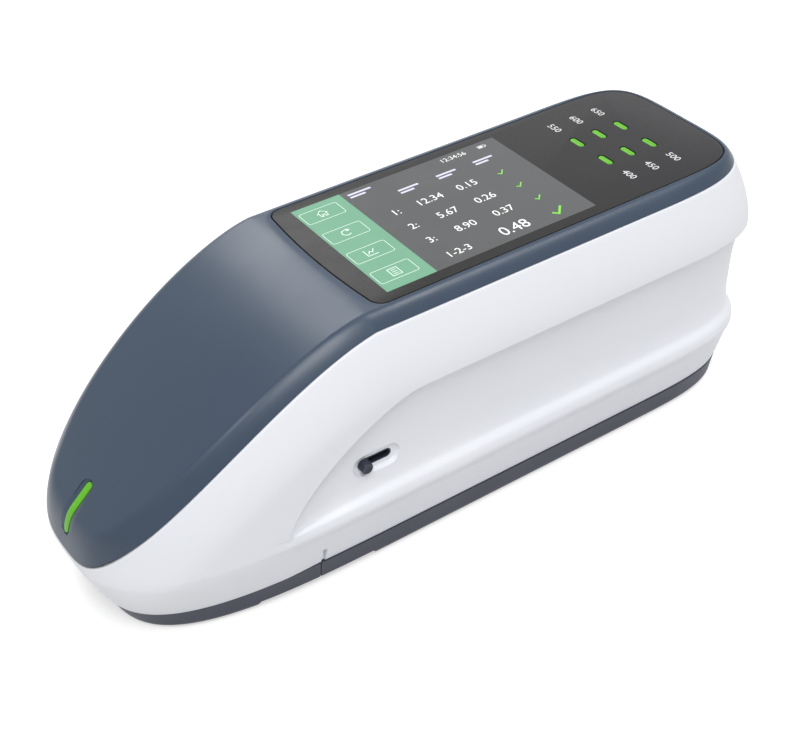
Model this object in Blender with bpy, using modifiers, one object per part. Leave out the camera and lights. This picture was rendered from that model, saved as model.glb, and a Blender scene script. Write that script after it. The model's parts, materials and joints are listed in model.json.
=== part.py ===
"""A handheld sphere spectrophotometer with a touch display, modelled piece by piece.

Metres, +Z up. The measuring nose points to -X, the flank with the aperture selector faces -Y, and
the origin lies under the middle of the body, on the surface that it stands on.
"""

import math

import bmesh
import bpy
from mathutils import Matrix, Vector

# Overall size, and the clearances that the whole part uses
BODY_LENGTH = 0.2320
BODY_WIDTH = 0.0770
BODY_HEIGHT = 0.0850
GAP = 0.0003
OVERRUN = 0.0040

NOSE_X = -BODY_LENGTH / 2
REAR_X = BODY_LENGTH / 2
HALF_WIDTH = BODY_WIDTH / 2

# Plan outline: each end is a quarter superellipse that runs into a straight flank
NOSE_SPAN = 0.0900
NOSE_POWER = 3.45
REAR_SPAN = 0.0500
REAR_POWER = 4.0
NOSE_STEPS = 20
ARCH_DENSITY = 2
FLANK_STEPS = 3
REAR_STEPS = 8

# Side view of the top: flat over the display, then a slope that steepens towards the nose
NOSE_TOP_Z = 0.0422
SLOPE_FALL = BODY_HEIGHT - NOSE_TOP_Z
SLOPE_RUN_SHARE = 1.67523
SLOPE_RUN = SLOPE_FALL * SLOPE_RUN_SHARE
SLOPE_LEAD = 0.0109
SLOPE_START = SLOPE_LEAD + SLOPE_RUN
SLOPE_POWER = 1.52
RIM_DROP = 0.0034
RIM_GAIN = 0.65
RIM_WIDTH = 0.0051
RIM_POWER = 1.6
NOSE_RIM_POWER = 3.5
NOSE_RIM_SHARE = 0.5
NOSE_DIP = 0.0030
NOSE_DIP_HALF = 0.0190
NOSE_CORNER_INSET = 0.0008

# Side profile of the white shell, from the base seam up to the cover seam
FOOT_PROUD = 0.0005
BASE_SEAM_Z = 0.0090
RIDGE_LOW_Z = 0.0215
RIDGE_Z = 0.0248
RIDGE_TOP_Z = 0.0275
CREASE_DROP = 0.0238
CREASE_Z = BODY_HEIGHT - CREASE_DROP
SKIRT_INSET = 0.0038
SKIRT_POWER = 1.1
REAR_SKIRT_INSET = 0.0014
REAR_SKIRT_POWER = 2.2
REAR_TUCK = 0.0010
REAR_BAND_INSET = 0.0056
RIDGE_INSET = 0.0004
RIDGE_STEP = 0.0006
BAND_INSET = 0.0046
BAND_RISE = 0.0198
BAND_POWER = 1.6
CHIN_INSET = 0.0053
CHIN_TOP_Z = 0.0220
CHIN_POWER = 1.25
SHELL_WALL = 0.0026
INNER_SKIP = 2
LIP = 0.0003

# The hollow for the hand, which starts in a pointed arch behind the nose and runs round the rear
RECESS_DEPTH = 0.0033
ARCH_TIP = 0.0505
ARCH_LENGTH = 0.0430
ARCH_TIP_Z = 0.0290
ARCH_POWER = 1.45
ARCH_FADE = 0.0160
FAN_LENGTH = 0.0220
FADE_LEAD_SHARE = 0.25
BEAD_LEAD_SHARE = 0.5
CREASE_ROOM_SHARE = 0.1
RECESS_SHARES = ((0.10, 0.70), (0.30, 0.95), (0.60, 1.0), (0.88, 0.80), (0.965, 0.45))
SKIRT_LEVEL_SHARES = (0.0, 0.30, 0.66)
BAND_LEVEL_SHARES = (0.34, 0.62, 0.84, 1.0)
RIM_LEVEL_SHARES = (0.0, 0.12, 0.30, 0.56, 0.80, 1.0)
CROWN_LEVEL_SHARES = (0.40, 0.76, 1.0)
CROWN = 0.0005

# Cover glass, display and indicator lights
GLASS_LEAD = 0.0028
GLASS_FRONT = SLOPE_START + GLASS_LEAD
GLASS_REAR = 0.0106
GLASS_SIDE = 0.0104
GLASS_HALF = HALF_WIDTH - GLASS_SIDE
GLASS_THICK = 0.0012
GLASS_CORNER_SPAN = 0.0370
GLASS_POWER = 5.27
GLASS_BOW = 0.0019
GLASS_CORNER = 0.0040
GLASS_STEPS = 7
LIGHT_REAR = 0.0465
LIGHT_FRONT = BODY_LENGTH - LIGHT_REAR
LIGHT_CLEAR = 0.01946
DISPLAY_LEAD = 0.0072
DISPLAY_FRONT = GLASS_FRONT + DISPLAY_LEAD
DISPLAY_LENGTH = LIGHT_FRONT - LIGHT_CLEAR - DISPLAY_FRONT
DISPLAY_SIDE = 0.00362
DISPLAY_WIDTH = 2 * (GLASS_HALF - DISPLAY_SIDE)
DISPLAY_BORDER = 0.0029
DISPLAY_THICK = 0.0032
LIGHT_PITCH = 0.00891
LIGHT_ROW = 0.01313
LIGHT_LENGTH = 0.0056
LIGHT_WIDTH = 0.0020
LIGHT_COLUMNS = 3

# Green light bar on the nose
NOSE_LIGHT_START = 0.0108
NOSE_LIGHT_END_Z = 0.0290
NOSE_LIGHT_WIDTH = 0.0024
NOSE_LIGHT_DEPTH = 0.0018
NOSE_LIGHT_STEPS = 9
NOSE_LIGHT_SINK = 0.0002
LAMP_BOARD_SIZE = (0.0070, 0.0060, 0.0010)
LAMP_BOARD_BACK = 0.0100

# Base: a tray in two pieces, with a relief in its underside where they meet
BASE_STEP = 0.0004
BASE_DRAFT = 0.0007
BASE_TUCK = 0.0026
BASE_FILLET = 0.0024
FILLET_SHARES = ((1.0, 0.0), (0.3, 0.25), (0.0, 0.8))
BASE_WALL = 0.0020
BASE_FLOOR_Z = 0.0046
SPLIT = 0.0615
RELIEF_FRONT = 0.0425
RELIEF_LENGTH = 0.0372
RELIEF_DEPTH = 0.0021
RELIEF_RUN = 0.0035
NOTCH_WIDTH = 0.0014
NOTCH_RISE = 0.0060
NOTCH_BACK = 0.0007
NOTCH_DEPTH = 0.0008

# Feet, case screws and their bosses
FOOT_RADIUS = 0.0040
FOOT_THICK = 0.0014
NOSE_FOOT = (0.0280, 0.0195)
REAR_FOOT = (0.0240, 0.0115)
NOSE_SCREW = (0.0360, 0.0140)
MIDDLE_SCREW = (0.0880, 0.0101)
REAR_SCREW = (0.0360, 0.0115)
SCREW_RADIUS = 0.0015
SCREW_HEAD_RADIUS = 0.0028
SCREW_HEAD = 0.0014
SCREW_SINK = 0.0004
SCREW_SOCKET_RADIUS = 0.0012
SCREW_SOCKET_DEPTH = 0.0008
BOSS_RADIUS = 0.0032
BOSS_CLEAR = 0.0025
BOSS_CAP = 0.0075
BOSS_RIB = 0.0018
BOSS_RIB_LOW_Z = 0.0120

# Measuring port and integrating sphere
PORT_X = 0.0315
PORT_RADIUS = 0.0055
PORT_RING_SHARE = 2 / 3
PORT_RING_FLANGE = 0.0020
PORT_RING_TOP_Z = 0.0052
PORT_FACE_Z = 0.0003
SPHERE_HEAD = 0.0071
SPHERE_SIDE = 0.0175
SPHERE_WALL = 0.0020
SPHERE_FLANGE = 0.0022
SPHERE_FLANGE_THICK = 0.0018
SPHERE_STEPS = 7
SPHERE_SIDES = 24
VIEW_TILT_DEGREES = 8
VIEW_RADIUS = 0.0035
LAMP_PORT_RADIUS = 0.0050
LAMP_RADIUS = 0.0070
LAMP_LENGTH = 0.0140
LAMP_SIDES = 20
LAMP_FIN_SHARES = (0.35, 0.55, 0.75)
LAMP_FIN_GAP_SHARE = 0.1
LAMP_CORE_SHARE = 0.75
LAMP_RISE_DEGREES = 38
LAMP_TURN_DEGREES = 55

# Optics deck and the path from the sphere to the spectrometer
DECK_THICK = 0.0016
DECK_FRONT = 0.0100
DECK_LENGTH = 0.1480
DECK_CORNER = 0.0110
LEG_RADIUS = 0.0018
LEG_PLACES = ((0.0165, 0.0060), (0.0700, 0.0045), (0.1510, 0.0045))
MIRROR_WIDTH = 0.0090
MIRROR_RISE = 0.0080
MIRROR_HEEL = 0.0020
MIRROR_BACK = 0.0040
BARREL_X = 0.0740
BARREL_LENGTH = 0.0090
BARREL_RADIUS = 0.0070
BARREL_BORE = 0.0052
BARREL_LIP = 0.0010
LENS_THICK = 0.0030
OPTIC_RISE = 0.0033
RAIL_LENGTH = 0.0190
RAIL_HALF = 0.0090
RAIL_WALL = 0.0018
SPECTRO_FRONT = 0.0935
SPECTRO_LENGTH = 0.0540
SPECTRO_SIDE = 0.0165
SPECTRO_HALF = HALF_WIDTH - SPECTRO_SIDE
SPECTRO_HEAD = 0.0069
SPECTRO_WALL = 0.0022
SPECTRO_CORNER = 0.0100
SPECTRO_LID = 0.0020
GRATING_SIZE = (0.0050, 0.0200, 0.0200)
GRATING_BACK = 0.0120
SENSOR_SIZE = (0.0240, 0.0014, 0.0200)

# Aperture selector in the right flank
SELECTOR_X = 0.0765
SELECTOR_Z = 0.0391
SELECTOR_TRAVEL = 0.0080
SLOT_HALF_HEIGHT = 0.0013
KNOB_RADIUS = 0.0019
KNOB_TAPER_SHARE = 0.9
KNOB_PROUD = 0.0029
STEM_RADIUS = 0.0009
DISH_DEPTH = 0.0011
DISH_HALF_HEIGHT = 0.0034
DISH_MARGIN = 0.0024
SLIDE_PLATE_THICK = 0.0009
SLIDE_PLATE_HALF_HEIGHT = 0.0030
ARM_THICK = 0.0012
ARM_WIDTH = 0.0060

# Measure key in the left flank
KEY_X = 0.0930
KEY_Z = 0.0440
KEY_LENGTH = 0.0240
KEY_HEIGHT = 0.0100
KEY_PROUD = 0.0012
KEY_TRAVEL = 0.0010
KEY_FLANGE = 0.0014
KEY_FLANGE_THICK = 0.0010
KEY_SWITCH_SIZE = (0.0060, 0.0040, 0.0060)
KEY_BOARD_SIZE = (0.0400, 0.0012, 0.0120)
KEY_POST_RADIUS = 0.0018
KEY_POST_REACH = 0.0170
KEY_PLUNGER_RADIUS = 0.0015

# Rear end: power slider and charging socket
PORTS_Z = 0.0440
REAR_BOW = 0.0005
POWER_Y = 0.0090
POWER_TRAVEL = 0.0030
POWER_LENGTH = 0.0060
POWER_HEIGHT = 0.0034
POWER_PROUD = 0.0008
POWER_FLANGE = 0.0012
POWER_FLANGE_THICK = 0.0008
POWER_SWITCH_SIZE = (0.0050, 0.0150, 0.0070)
SOCKET_Y = -0.0100
SOCKET_WIDTH = 0.0090
SOCKET_HEIGHT = 0.0032
SOCKET_LENGTH = 0.0074
SOCKET_WALL = 0.0003
SOCKET_TONGUE = 0.0007
REAR_BOARD_SIDE = 0.0155
REAR_BOARD_SIZE = (0.0014, 2 * (HALF_WIDTH - REAR_BOARD_SIDE), 0.0120)

# Boards and sounder under the display
MAIN_BOARD_THICK = 0.0016
MAIN_BOARD_LEAD = 0.0046
MAIN_BOARD_FRONT = GLASS_FRONT + MAIN_BOARD_LEAD
MAIN_BOARD_REAR = 0.0240
MAIN_BOARD_LENGTH = BODY_LENGTH - MAIN_BOARD_FRONT - MAIN_BOARD_REAR
MAIN_BOARD_SIDE = 0.0145
MAIN_BOARD_HALF = HALF_WIDTH - MAIN_BOARD_SIDE
MAIN_BOARD_CORNER = 0.0030
SOUNDER_RADIUS = 0.0048
SOUNDER_HEIGHT = 0.0040
SOUNDER_BACK = 0.0120

# Battery, its bay and the sliding lid in the underside
BATTERY_FRONT = 0.1570
BATTERY_REAR = 0.0170
BATTERY_LENGTH = BODY_LENGTH - BATTERY_FRONT - BATTERY_REAR
BATTERY_SIDE = 0.0195
BATTERY_HALF = HALF_WIDTH - BATTERY_SIDE
BATTERY_HEIGHT = 0.0150
BATTERY_CORNER = 0.0030
LID_MARGIN = 0.0200
LID_LENGTH = BATTERY_LENGTH + LID_MARGIN
LID_RAIL = 0.0017
LID_HALF = BATTERY_HALF + LID_RAIL
LID_TONGUE = 0.0016
LID_SKIN = 0.0012
LID_TONGUE_THICK = 0.0010
LID_RIBS = 4
LID_RIB_PITCH = 0.0022
LID_RIB_WIDTH = 0.0009
LID_RIB_DEPTH = 0.0005
LID_RIB_HALF = 0.0080
LID_RIB_BACK = 0.0160

# Places worked out from the sizes above
SLOPE_START_X = NOSE_X + SLOPE_START
ARCH_TIP_X = NOSE_X + ARCH_TIP
ARCH_END_X = ARCH_TIP_X + ARCH_LENGTH
SPLIT_X = NOSE_X + SPLIT
BATTERY_FRONT_X = REAR_X - BATTERY_REAR - BATTERY_LENGTH
TRAY_TOP_Z = BASE_SEAM_Z - GAP
SPHERE_X = NOSE_X + PORT_X
GLASS_UNDER_Z = BODY_HEIGHT - GLASS_THICK
POCKET_Z = GLASS_UNDER_Z - GAP
DISPLAY_TOP_Z = GLASS_UNDER_Z - GAP
DISPLAY_UNDER_Z = DISPLAY_TOP_Z - DISPLAY_THICK
MAIN_BOARD_TOP_Z = DISPLAY_UNDER_Z - GAP
FOOT_PLACES = (
    (NOSE_X + NOSE_FOOT[0], HALF_WIDTH - NOSE_FOOT[1]),
    (REAR_X - REAR_FOOT[0], HALF_WIDTH - REAR_FOOT[1]),
)
SCREW_PLACES = (
    (NOSE_X + NOSE_SCREW[0], HALF_WIDTH - NOSE_SCREW[1]),
    (NOSE_X + MIDDLE_SCREW[0], HALF_WIDTH - MIDDLE_SCREW[1]),
    (REAR_X - REAR_SCREW[0], HALF_WIDTH - REAR_SCREW[1]),
)


def clear_scene():
    """Removes every object of the scene that is open."""
    for obj in list(bpy.data.objects):
        bpy.data.objects.remove(obj, do_unlink=True)


def new_collection(name):
    """Adds a collection to the scene."""
    collection = bpy.data.collections.new(name)
    bpy.context.scene.collection.children.link(collection)
    return collection


clear_scene()
PARTS = new_collection("spectrophotometer")
CUTTERS = new_collection("cutters")


def new_material(name, colour, roughness, metallic=0.0):
    """A plain Principled material in linear colour."""
    material = bpy.data.materials.new(name)
    material.use_nodes = True
    shader = material.node_tree.nodes["Principled BSDF"]
    shader.inputs["Base Color"].default_value = (*colour, 1.0)
    shader.inputs["Roughness"].default_value = roughness
    shader.inputs["Metallic"].default_value = metallic
    material.diffuse_color = (*colour, 1.0)
    return material


WHITE_PLASTIC = new_material("white_plastic", (0.72, 0.74, 0.80), 0.35)
SLATE_PLASTIC = new_material("slate_plastic", (0.09, 0.13, 0.18), 0.35)
DARK_PLASTIC = new_material("dark_plastic", (0.05, 0.06, 0.09), 0.45)
GLASS = new_material("printed_glass", (0.07, 0.07, 0.07), 0.12)
DISPLAY = new_material("display_panel", (0.17, 0.18, 0.18), 0.3)
GREEN_LIGHT = new_material("green_light_guide", (0.16, 0.50, 0.08), 0.3)
RUBBER = new_material("rubber", (0.02, 0.02, 0.02), 0.8)
STEEL = new_material("steel", (0.5, 0.5, 0.52), 0.3, 1.0)
ALUMINIUM = new_material("aluminium", (0.45, 0.46, 0.48), 0.4, 1.0)
WHITE_COATING = new_material("white_coating", (0.9, 0.9, 0.9), 0.9)
BOARD = new_material("circuit_board", (0.02, 0.14, 0.05), 0.5)
OPTIC = new_material("optical_glass", (0.6, 0.7, 0.75), 0.05)
BATTERY = new_material("battery_wrap", (0.05, 0.10, 0.35), 0.5)


def finish(mesh_data, name, material, smooth_degrees=35):
    """Turns a bmesh into a node with its own material, shaded smooth up to an angle."""
    bmesh.ops.recalc_face_normals(mesh_data, faces=mesh_data.faces)
    mesh = bpy.data.meshes.new(name)
    mesh_data.to_mesh(mesh)
    mesh_data.free()
    mesh.shade_smooth()
    mesh.set_sharp_from_angle(angle=math.radians(smooth_degrees))
    mesh.materials.append(material)
    obj = bpy.data.objects.new(name, mesh)
    PARTS.objects.link(obj)
    return obj


def as_cutter(obj):
    """Turns a piece into a helper that the build leaves out."""
    PARTS.objects.unlink(obj)
    CUTTERS.objects.link(obj)
    obj.hide_render = True
    obj.display_type = "WIRE"
    return obj


def combine(obj, other, operation):
    """Adds a Boolean to a piece. The other object becomes a helper."""
    as_cutter(other)
    modifier = obj.modifiers.new(other.name, "BOOLEAN")
    modifier.operation = operation
    modifier.solver = "EXACT"
    modifier.object = other
    return obj


def cut(obj, *cutters):
    """Cuts each cutter from the piece."""
    for cutter in cutters:
        combine(obj, cutter, "DIFFERENCE")
    return obj


def join(obj, *others):
    """Joins each of the others to the piece."""
    for other in others:
        combine(obj, other, "UNION")
    return obj


def box(name, low, high, material=DARK_PLASTIC, bevel=0.0):
    """A block between two corners, with its upright edges rounded by a bevel."""
    shape = bmesh.new()
    bmesh.ops.create_cube(shape, size=1)
    low, high = Vector(low), Vector(high)
    size = high - low
    bmesh.ops.scale(shape, vec=size, verts=shape.verts)
    bmesh.ops.translate(shape, vec=(low + high) / 2, verts=shape.verts)
    if bevel:
        upright = [edge for edge in shape.edges if abs(edge.verts[0].co.z - edge.verts[1].co.z) > size.z / 2]
        bmesh.ops.bevel(shape, geom=upright, offset=bevel, segments=3, affect="EDGES", profile=0.5)
    return finish(shape, name, material)


def rod(name, start, end, radius, material=DARK_PLASTIC, sides=20, end_radius=None):
    """A cylinder, or a cone where end_radius differs, between two points."""
    start, end = Vector(start), Vector(end)
    axis = end - start
    shape = bmesh.new()
    bmesh.ops.create_cone(
        shape,
        cap_ends=True,
        segments=sides,
        radius1=radius,
        radius2=radius if end_radius is None else end_radius,
        depth=axis.length,
    )
    turn = Vector((0, 0, 1)).rotation_difference(axis).to_matrix().to_4x4()
    bmesh.ops.transform(shape, matrix=Matrix.Translation((start + end) / 2) @ turn, verts=shape.verts)
    return finish(shape, name, material)


def prism(name, points, low, high, material=DARK_PLASTIC, axis="Z"):
    """A flat outline pushed from low to high along an axis."""
    place = {
        "X": lambda a, b, level: (level, a, b),
        "Y": lambda a, b, level: (a, level, b),
        "Z": lambda a, b, level: (a, b, level),
    }[axis]
    shape = bmesh.new()
    face = shape.faces.new([shape.verts.new(place(a, b, low)) for a, b in points])
    pushed = bmesh.ops.extrude_face_region(shape, geom=[face])["geom"]
    moved = [item for item in pushed if isinstance(item, bmesh.types.BMVert)]
    bmesh.ops.translate(shape, vec=Vector(place(0, 0, high)) - Vector(place(0, 0, low)), verts=moved)
    return finish(shape, name, material)


def turned(name, profile, material=DARK_PLASTIC, sides=SPHERE_SIDES, centre=(0, 0, 0)):
    """A closed profile of radius and height, turned about an upright axis with a Screw modifier."""
    mesh = bpy.data.meshes.new(name)
    points = [(radius, 0, height) for radius, height in profile]
    area = sum(a[0] * b[2] - b[0] * a[2] for a, b in zip(points, points[1:] + points[:1]))
    if area > 0:
        points.reverse()
    edges = [(i, (i + 1) % len(points)) for i in range(len(points))]
    mesh.from_pydata(points, edges, [])
    mesh.materials.append(material)
    obj = bpy.data.objects.new(name, mesh)
    obj.location = centre
    PARTS.objects.link(obj)
    screw = obj.modifiers.new("turn", "SCREW")
    screw.steps = sides
    screw.render_steps = sides
    screw.use_merge_vertices = True
    screw.merge_threshold = 0.00001
    return obj


def stadium(length, height, steps=8):
    """The outline of a slot with round ends, about its middle."""
    radius = height / 2
    reach = length / 2 - radius
    points = []
    for side in (1, -1):
        for k in range(steps + 1):
            angle = math.pi * (k / steps - 0.5)
            points.append((side * (reach + radius * math.cos(angle)), side * radius * math.sin(angle)))
    return points


def moved(points, across, up=0.0):
    """An outline shifted in its own plane."""
    return [(a + across, b + up) for a, b in points]


def pivot(name, place):
    """An empty on a joint's axis, which carries the pieces that move on it."""
    empty = bpy.data.objects.new(name, None)
    empty.location = place
    empty.empty_display_size = RIM_WIDTH
    PARTS.objects.link(empty)
    return empty


def hang(holder, *pieces):
    """Parents pieces to a pivot and leaves them where they are."""
    for piece in pieces:
        piece.data.transform(Matrix.Translation(-holder.location))
        piece.parent = holder


def even_angles(span, half, power, steps, dense=None):
    """Angles that cut a quarter superellipse into even lengths, closer together past the dense span."""
    count = 600
    fine = [math.pi / 2 * k / count for k in range(count + 1)]
    points = [(span * math.cos(a) ** (2 / power), half * max(math.sin(a), 0) ** (2 / power)) for a in fine]
    lengths = [0.0]
    for (x0, y0), (x1, y1) in zip(points, points[1:]):
        weight = ARCH_DENSITY if dense and span - x0 > dense else 1
        lengths.append(lengths[-1] + weight * math.hypot(x1 - x0, y1 - y0))
    angles = []
    for step in range(steps + 1):
        wanted = lengths[-1] * step / steps
        index = next(i for i, length in enumerate(lengths) if length >= wanted - lengths[-1] / count**2)
        angles.append(fine[index])
    return angles


NOSE_ANGLES = even_angles(NOSE_SPAN, HALF_WIDTH, NOSE_POWER, NOSE_STEPS, ARCH_TIP - RIM_WIDTH)
REAR_ANGLES = even_angles(REAR_SPAN, HALF_WIDTH, REAR_POWER, REAR_STEPS)


def end_point(tip_x, span, half, power, angle, sign):
    """A point of one rounded end and its outward direction, on the -Y side."""
    ahead = max(math.cos(angle), 0.0) ** (2 / power)
    aside = max(math.sin(angle), 0.0) ** (2 / power)
    if angle >= math.pi / 2:
        ahead = 0.0
    point = Vector((tip_x - sign * span * (1 - ahead), -half * aside))
    out = Vector((sign * ahead ** (power - 1) / span, -(aside ** (power - 1)) / half))
    return point, out.normalized()


def outline(side_inset=0.0, nose_inset=0.0, rear_inset=0.0):
    """Points and outward directions of the body's plan, from the nose tip round by -Y."""
    half = HALF_WIDTH - side_inset
    nose, rear = NOSE_X + nose_inset, REAR_X - rear_inset
    right = [end_point(nose, NOSE_SPAN, half, NOSE_POWER, angle, -1) for angle in NOSE_ANGLES]
    start, end = nose + NOSE_SPAN, rear - REAR_SPAN
    for k in range(1, FLANK_STEPS):
        x = start + (end - start) * k / FLANK_STEPS
        right.append((Vector((x, -half)), Vector((0.0, -1.0))))
    right += [end_point(rear, REAR_SPAN, half, REAR_POWER, angle, 1) for angle in reversed(REAR_ANGLES)]
    left = [(Vector((p.x, -p.y)), Vector((n.x, -n.y))) for p, n in reversed(right[1:-1])]
    return right + left


MASTER = outline()


def slope_run(x):
    """How far a place lies ahead of the flat part of the top."""
    return max(SLOPE_START_X - x, 0.0)


def top_height(x):
    """Height of the top along the middle."""
    return BODY_HEIGHT - SLOPE_FALL * (slope_run(x) / SLOPE_RUN) ** SLOPE_POWER


def steepness(x):
    """Slope of the top, in height lost for each length towards the nose."""
    return SLOPE_POWER * SLOPE_FALL / SLOPE_RUN * (slope_run(x) / SLOPE_RUN) ** (SLOPE_POWER - 1)


def under_height(x):
    """Height of the cover's underside, one rim below the top and more where the slope is steeper."""
    return top_height(x) - RIM_DROP * (1 + RIM_GAIN * steepness(x))


def sphere_radius():
    """Outer radius of the largest sphere between the port's ring, the cover and the flanks."""
    upwards = (under_height(SPHERE_X) - SPHERE_HEAD - PORT_RING_TOP_Z) / 2
    return min(upwards, HALF_WIDTH - SPHERE_SIDE)


# The sphere fills the nose, its ring and its deck fit it, and the optics lie over it
SPHERE_OUTER = sphere_radius()
SPHERE_INNER = SPHERE_OUTER - SPHERE_WALL
SPHERE_Z = PORT_RING_TOP_Z + SPHERE_OUTER
PORT_RING_RADIUS = SPHERE_OUTER * PORT_RING_SHARE
DECK_HALF = SPHERE_OUTER + SPHERE_FLANGE + GAP
DECK_TOP_Z = SPHERE_Z - SPHERE_FLANGE_THICK - GAP
BOSS_TOP_Z = DECK_TOP_Z - DECK_THICK - BOSS_CLEAR
SCREW_LENGTH = BOSS_TOP_Z - BOSS_CAP
OPTIC_Z = SPHERE_Z + SPHERE_OUTER + OPTIC_RISE
RAIL_TOP_Z = OPTIC_Z - BARREL_RADIUS - GAP


def seam_height(x, y):
    """Height of the seam between cover and shell, which dips under the tip of the nose."""
    middle = max(1 - (y / NOSE_DIP_HALF) ** 2, 0.0) if x < NOSE_X + NOSE_DIP_HALF else 0.0
    return under_height(x) - NOSE_DIP * middle


def arch_height(x):
    """Height of the crease over the hollow, which comes down in an arch to its tip."""
    share = min(max((ARCH_END_X - x) / ARCH_LENGTH, 0.0), 1.0)
    drop = 1 - (1 - share**ARCH_POWER) ** (1 / ARCH_POWER)
    return CREASE_Z - (CREASE_Z - ARCH_TIP_Z) * drop


def smooth(share):
    """A share between 0 and 1 with soft ends."""
    share = min(max(share, 0.0), 1.0)
    return share * share * (3 - 2 * share)


def skirt_insets(z):
    """How far the flanks and the rear draw in at a height below the bead."""
    share = max((RIDGE_Z - z) / (RIDGE_Z - BASE_SEAM_Z), 0.0)
    tuck = REAR_TUCK * smooth((CREASE_Z - z) / (CREASE_Z - RIDGE_Z))
    return SKIRT_INSET * share**SKIRT_POWER, REAR_SKIRT_INSET * share**REAR_SKIRT_POWER + tuck


def band_share(z, seam):
    """How much of the upper band's inset there is at a height below its seam."""
    return max((z - seam + BAND_RISE) / BAND_RISE, 0.0) ** BAND_POWER


def chin_inset(z):
    """How far the nose draws back at a height under its tip."""
    return CHIN_INSET * max((CHIN_TOP_Z - z) / (CHIN_TOP_Z - BASE_SEAM_Z), 0.0) ** CHIN_POWER


def corner_inset(out, z):
    """How far the nose's corners draw in, more towards the top."""
    bend = max(-2 * out.x * abs(out.y), 0.0)
    return NOSE_CORNER_INSET * bend**2 * smooth((z - BASE_SEAM_Z) / (CHIN_TOP_Z - BASE_SEAM_Z))


def shell_point(column, z, groove, seam, shift=0.0):
    """A point of the shell's outer skin in one column of its grid, moved inwards by the groove."""
    (side, rear), band = skirt_insets(z), band_share(z, seam)
    point, out = outline(side + BAND_INSET * band, chin_inset(z), rear + REAR_BAND_INSET * band)[column]
    point = point - out * (groove + shift + corner_inset(out, z))
    return Vector((point.x, point.y, z))


def column_levels(column):
    """Heights and groove depths of one column of the shell, from the base seam to the cover seam."""
    x = MASTER[column][0].x
    top, _ = outline(BAND_INSET, 0.0, REAR_BAND_INSET)[column]
    seam = seam_height(top.x, top.y) - GAP
    crease = min(arch_height(x), seam - BAND_RISE * CREASE_ROOM_SHARE)
    behind = (x - ARCH_TIP_X) / ARCH_FADE
    depth = RECESS_DEPTH * smooth(behind + FADE_LEAD_SHARE) * (behind > 0)
    bead = smooth(behind + BEAD_LEAD_SHARE)
    skirt = RIDGE_LOW_Z - BASE_SEAM_Z
    levels = [(BASE_SEAM_Z + skirt * share, RIDGE_STEP * bead) for share in SKIRT_LEVEL_SHARES]
    levels += [(RIDGE_LOW_Z, RIDGE_STEP * bead), (RIDGE_LOW_Z + RIDGE_STEP, RIDGE_INSET * bead)]
    levels += [(RIDGE_Z, 0.0), (RIDGE_TOP_Z, RIDGE_INSET * bead)]
    levels += [(RIDGE_TOP_Z + (crease - RIDGE_TOP_Z) * up, depth * share) for up, share in RECESS_SHARES]
    levels += [(crease, 0.0)]
    levels += [(crease + (seam - crease) * share, 0.0) for share in BAND_LEVEL_SHARES]
    fan = smooth((ARCH_TIP_X - x) / FAN_LENGTH)
    last = len(levels) - 1
    return [
        (z + (BASE_SEAM_Z + (seam - BASE_SEAM_Z) * k / last - z) * fan, groove * (1 - fan), seam)
        for k, (z, groove) in enumerate(levels)
    ]


def bridge(shape, lower, upper):
    """Quads between two rings of as many points."""
    count = len(lower)
    for k in range(count):
        corners = [lower[k], lower[(k + 1) % count], upper[(k + 1) % count], upper[k]]
        corners = list(dict.fromkeys(corners))
        if len(corners) > 2:
            shape.faces.new(corners)


def loft(name, rings, material, closed=False, capped=False):
    """A skin through rings of points: closed on itself, or with a flat cap on its first and last ring."""
    shape = bmesh.new()
    made = [[shape.verts.new(point) for point in ring] for ring in rings]
    for lower, upper in zip(made, made[1:]):
        bridge(shape, lower, upper)
    if closed:
        bridge(shape, made[-1], made[0])
    if capped:
        shape.faces.new(made[0])
        shape.faces.new(made[-1])
    return finish(shape, name, material)


def shell_rings():
    """The shell's outer rings from its foot to its seam, then its inner rings back down."""
    columns = [column_levels(k) for k in range(len(MASTER))]
    levels = len(columns[0])

    def ring(level, shift):
        return [shell_point(k, *at[level], shift) for k, at in enumerate(columns)]

    outer = [ring(level, 0.0) for level in range(levels)]
    kept = [level for level in range(levels) if level % INNER_SKIP == 0 or level == levels - 1]
    inner = [ring(level, SHELL_WALL) for level in kept]
    return outer + inner[::-1]


def flank_y(x, z):
    """Distance of the shell's outer skin from the middle plane, on the straight flank."""
    column = min(range(len(MASTER) // 2), key=lambda k: abs(MASTER[k][0].x - x))
    levels = column_levels(column)
    for (low, groove, seam), (high, next_groove, _) in zip(levels, levels[1:]):
        if low <= z <= high:
            depth = groove + (next_groove - groove) * (z - low) / (high - low)
            return -shell_point(column, z, depth, seam).y
    return 0.0


def rear_face_x(z):
    """Place of the shell's outer skin at the middle of the rear end."""
    column = len(MASTER) // 2
    levels = column_levels(column)
    deepest = max(groove for _, groove, _ in levels)
    return shell_point(column, z, deepest, levels[0][2]).x


FLANK_Y = flank_y(NOSE_X + SELECTOR_X, SELECTOR_Z)
KEY_FLANK_Y = flank_y(NOSE_X + KEY_X, KEY_Z)
REAR_FACE_X = rear_face_x(PORTS_Z)


def screw_places():
    """Centres of the case screws, right and left."""
    return [(x, side * y) for x, y in SCREW_PLACES for side in (-1, 1)]


def foot_places():
    """Centres of the rubber feet, right and left."""
    return [(x, side * y) for x, y in FOOT_PLACES for side in (-1, 1)]


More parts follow.
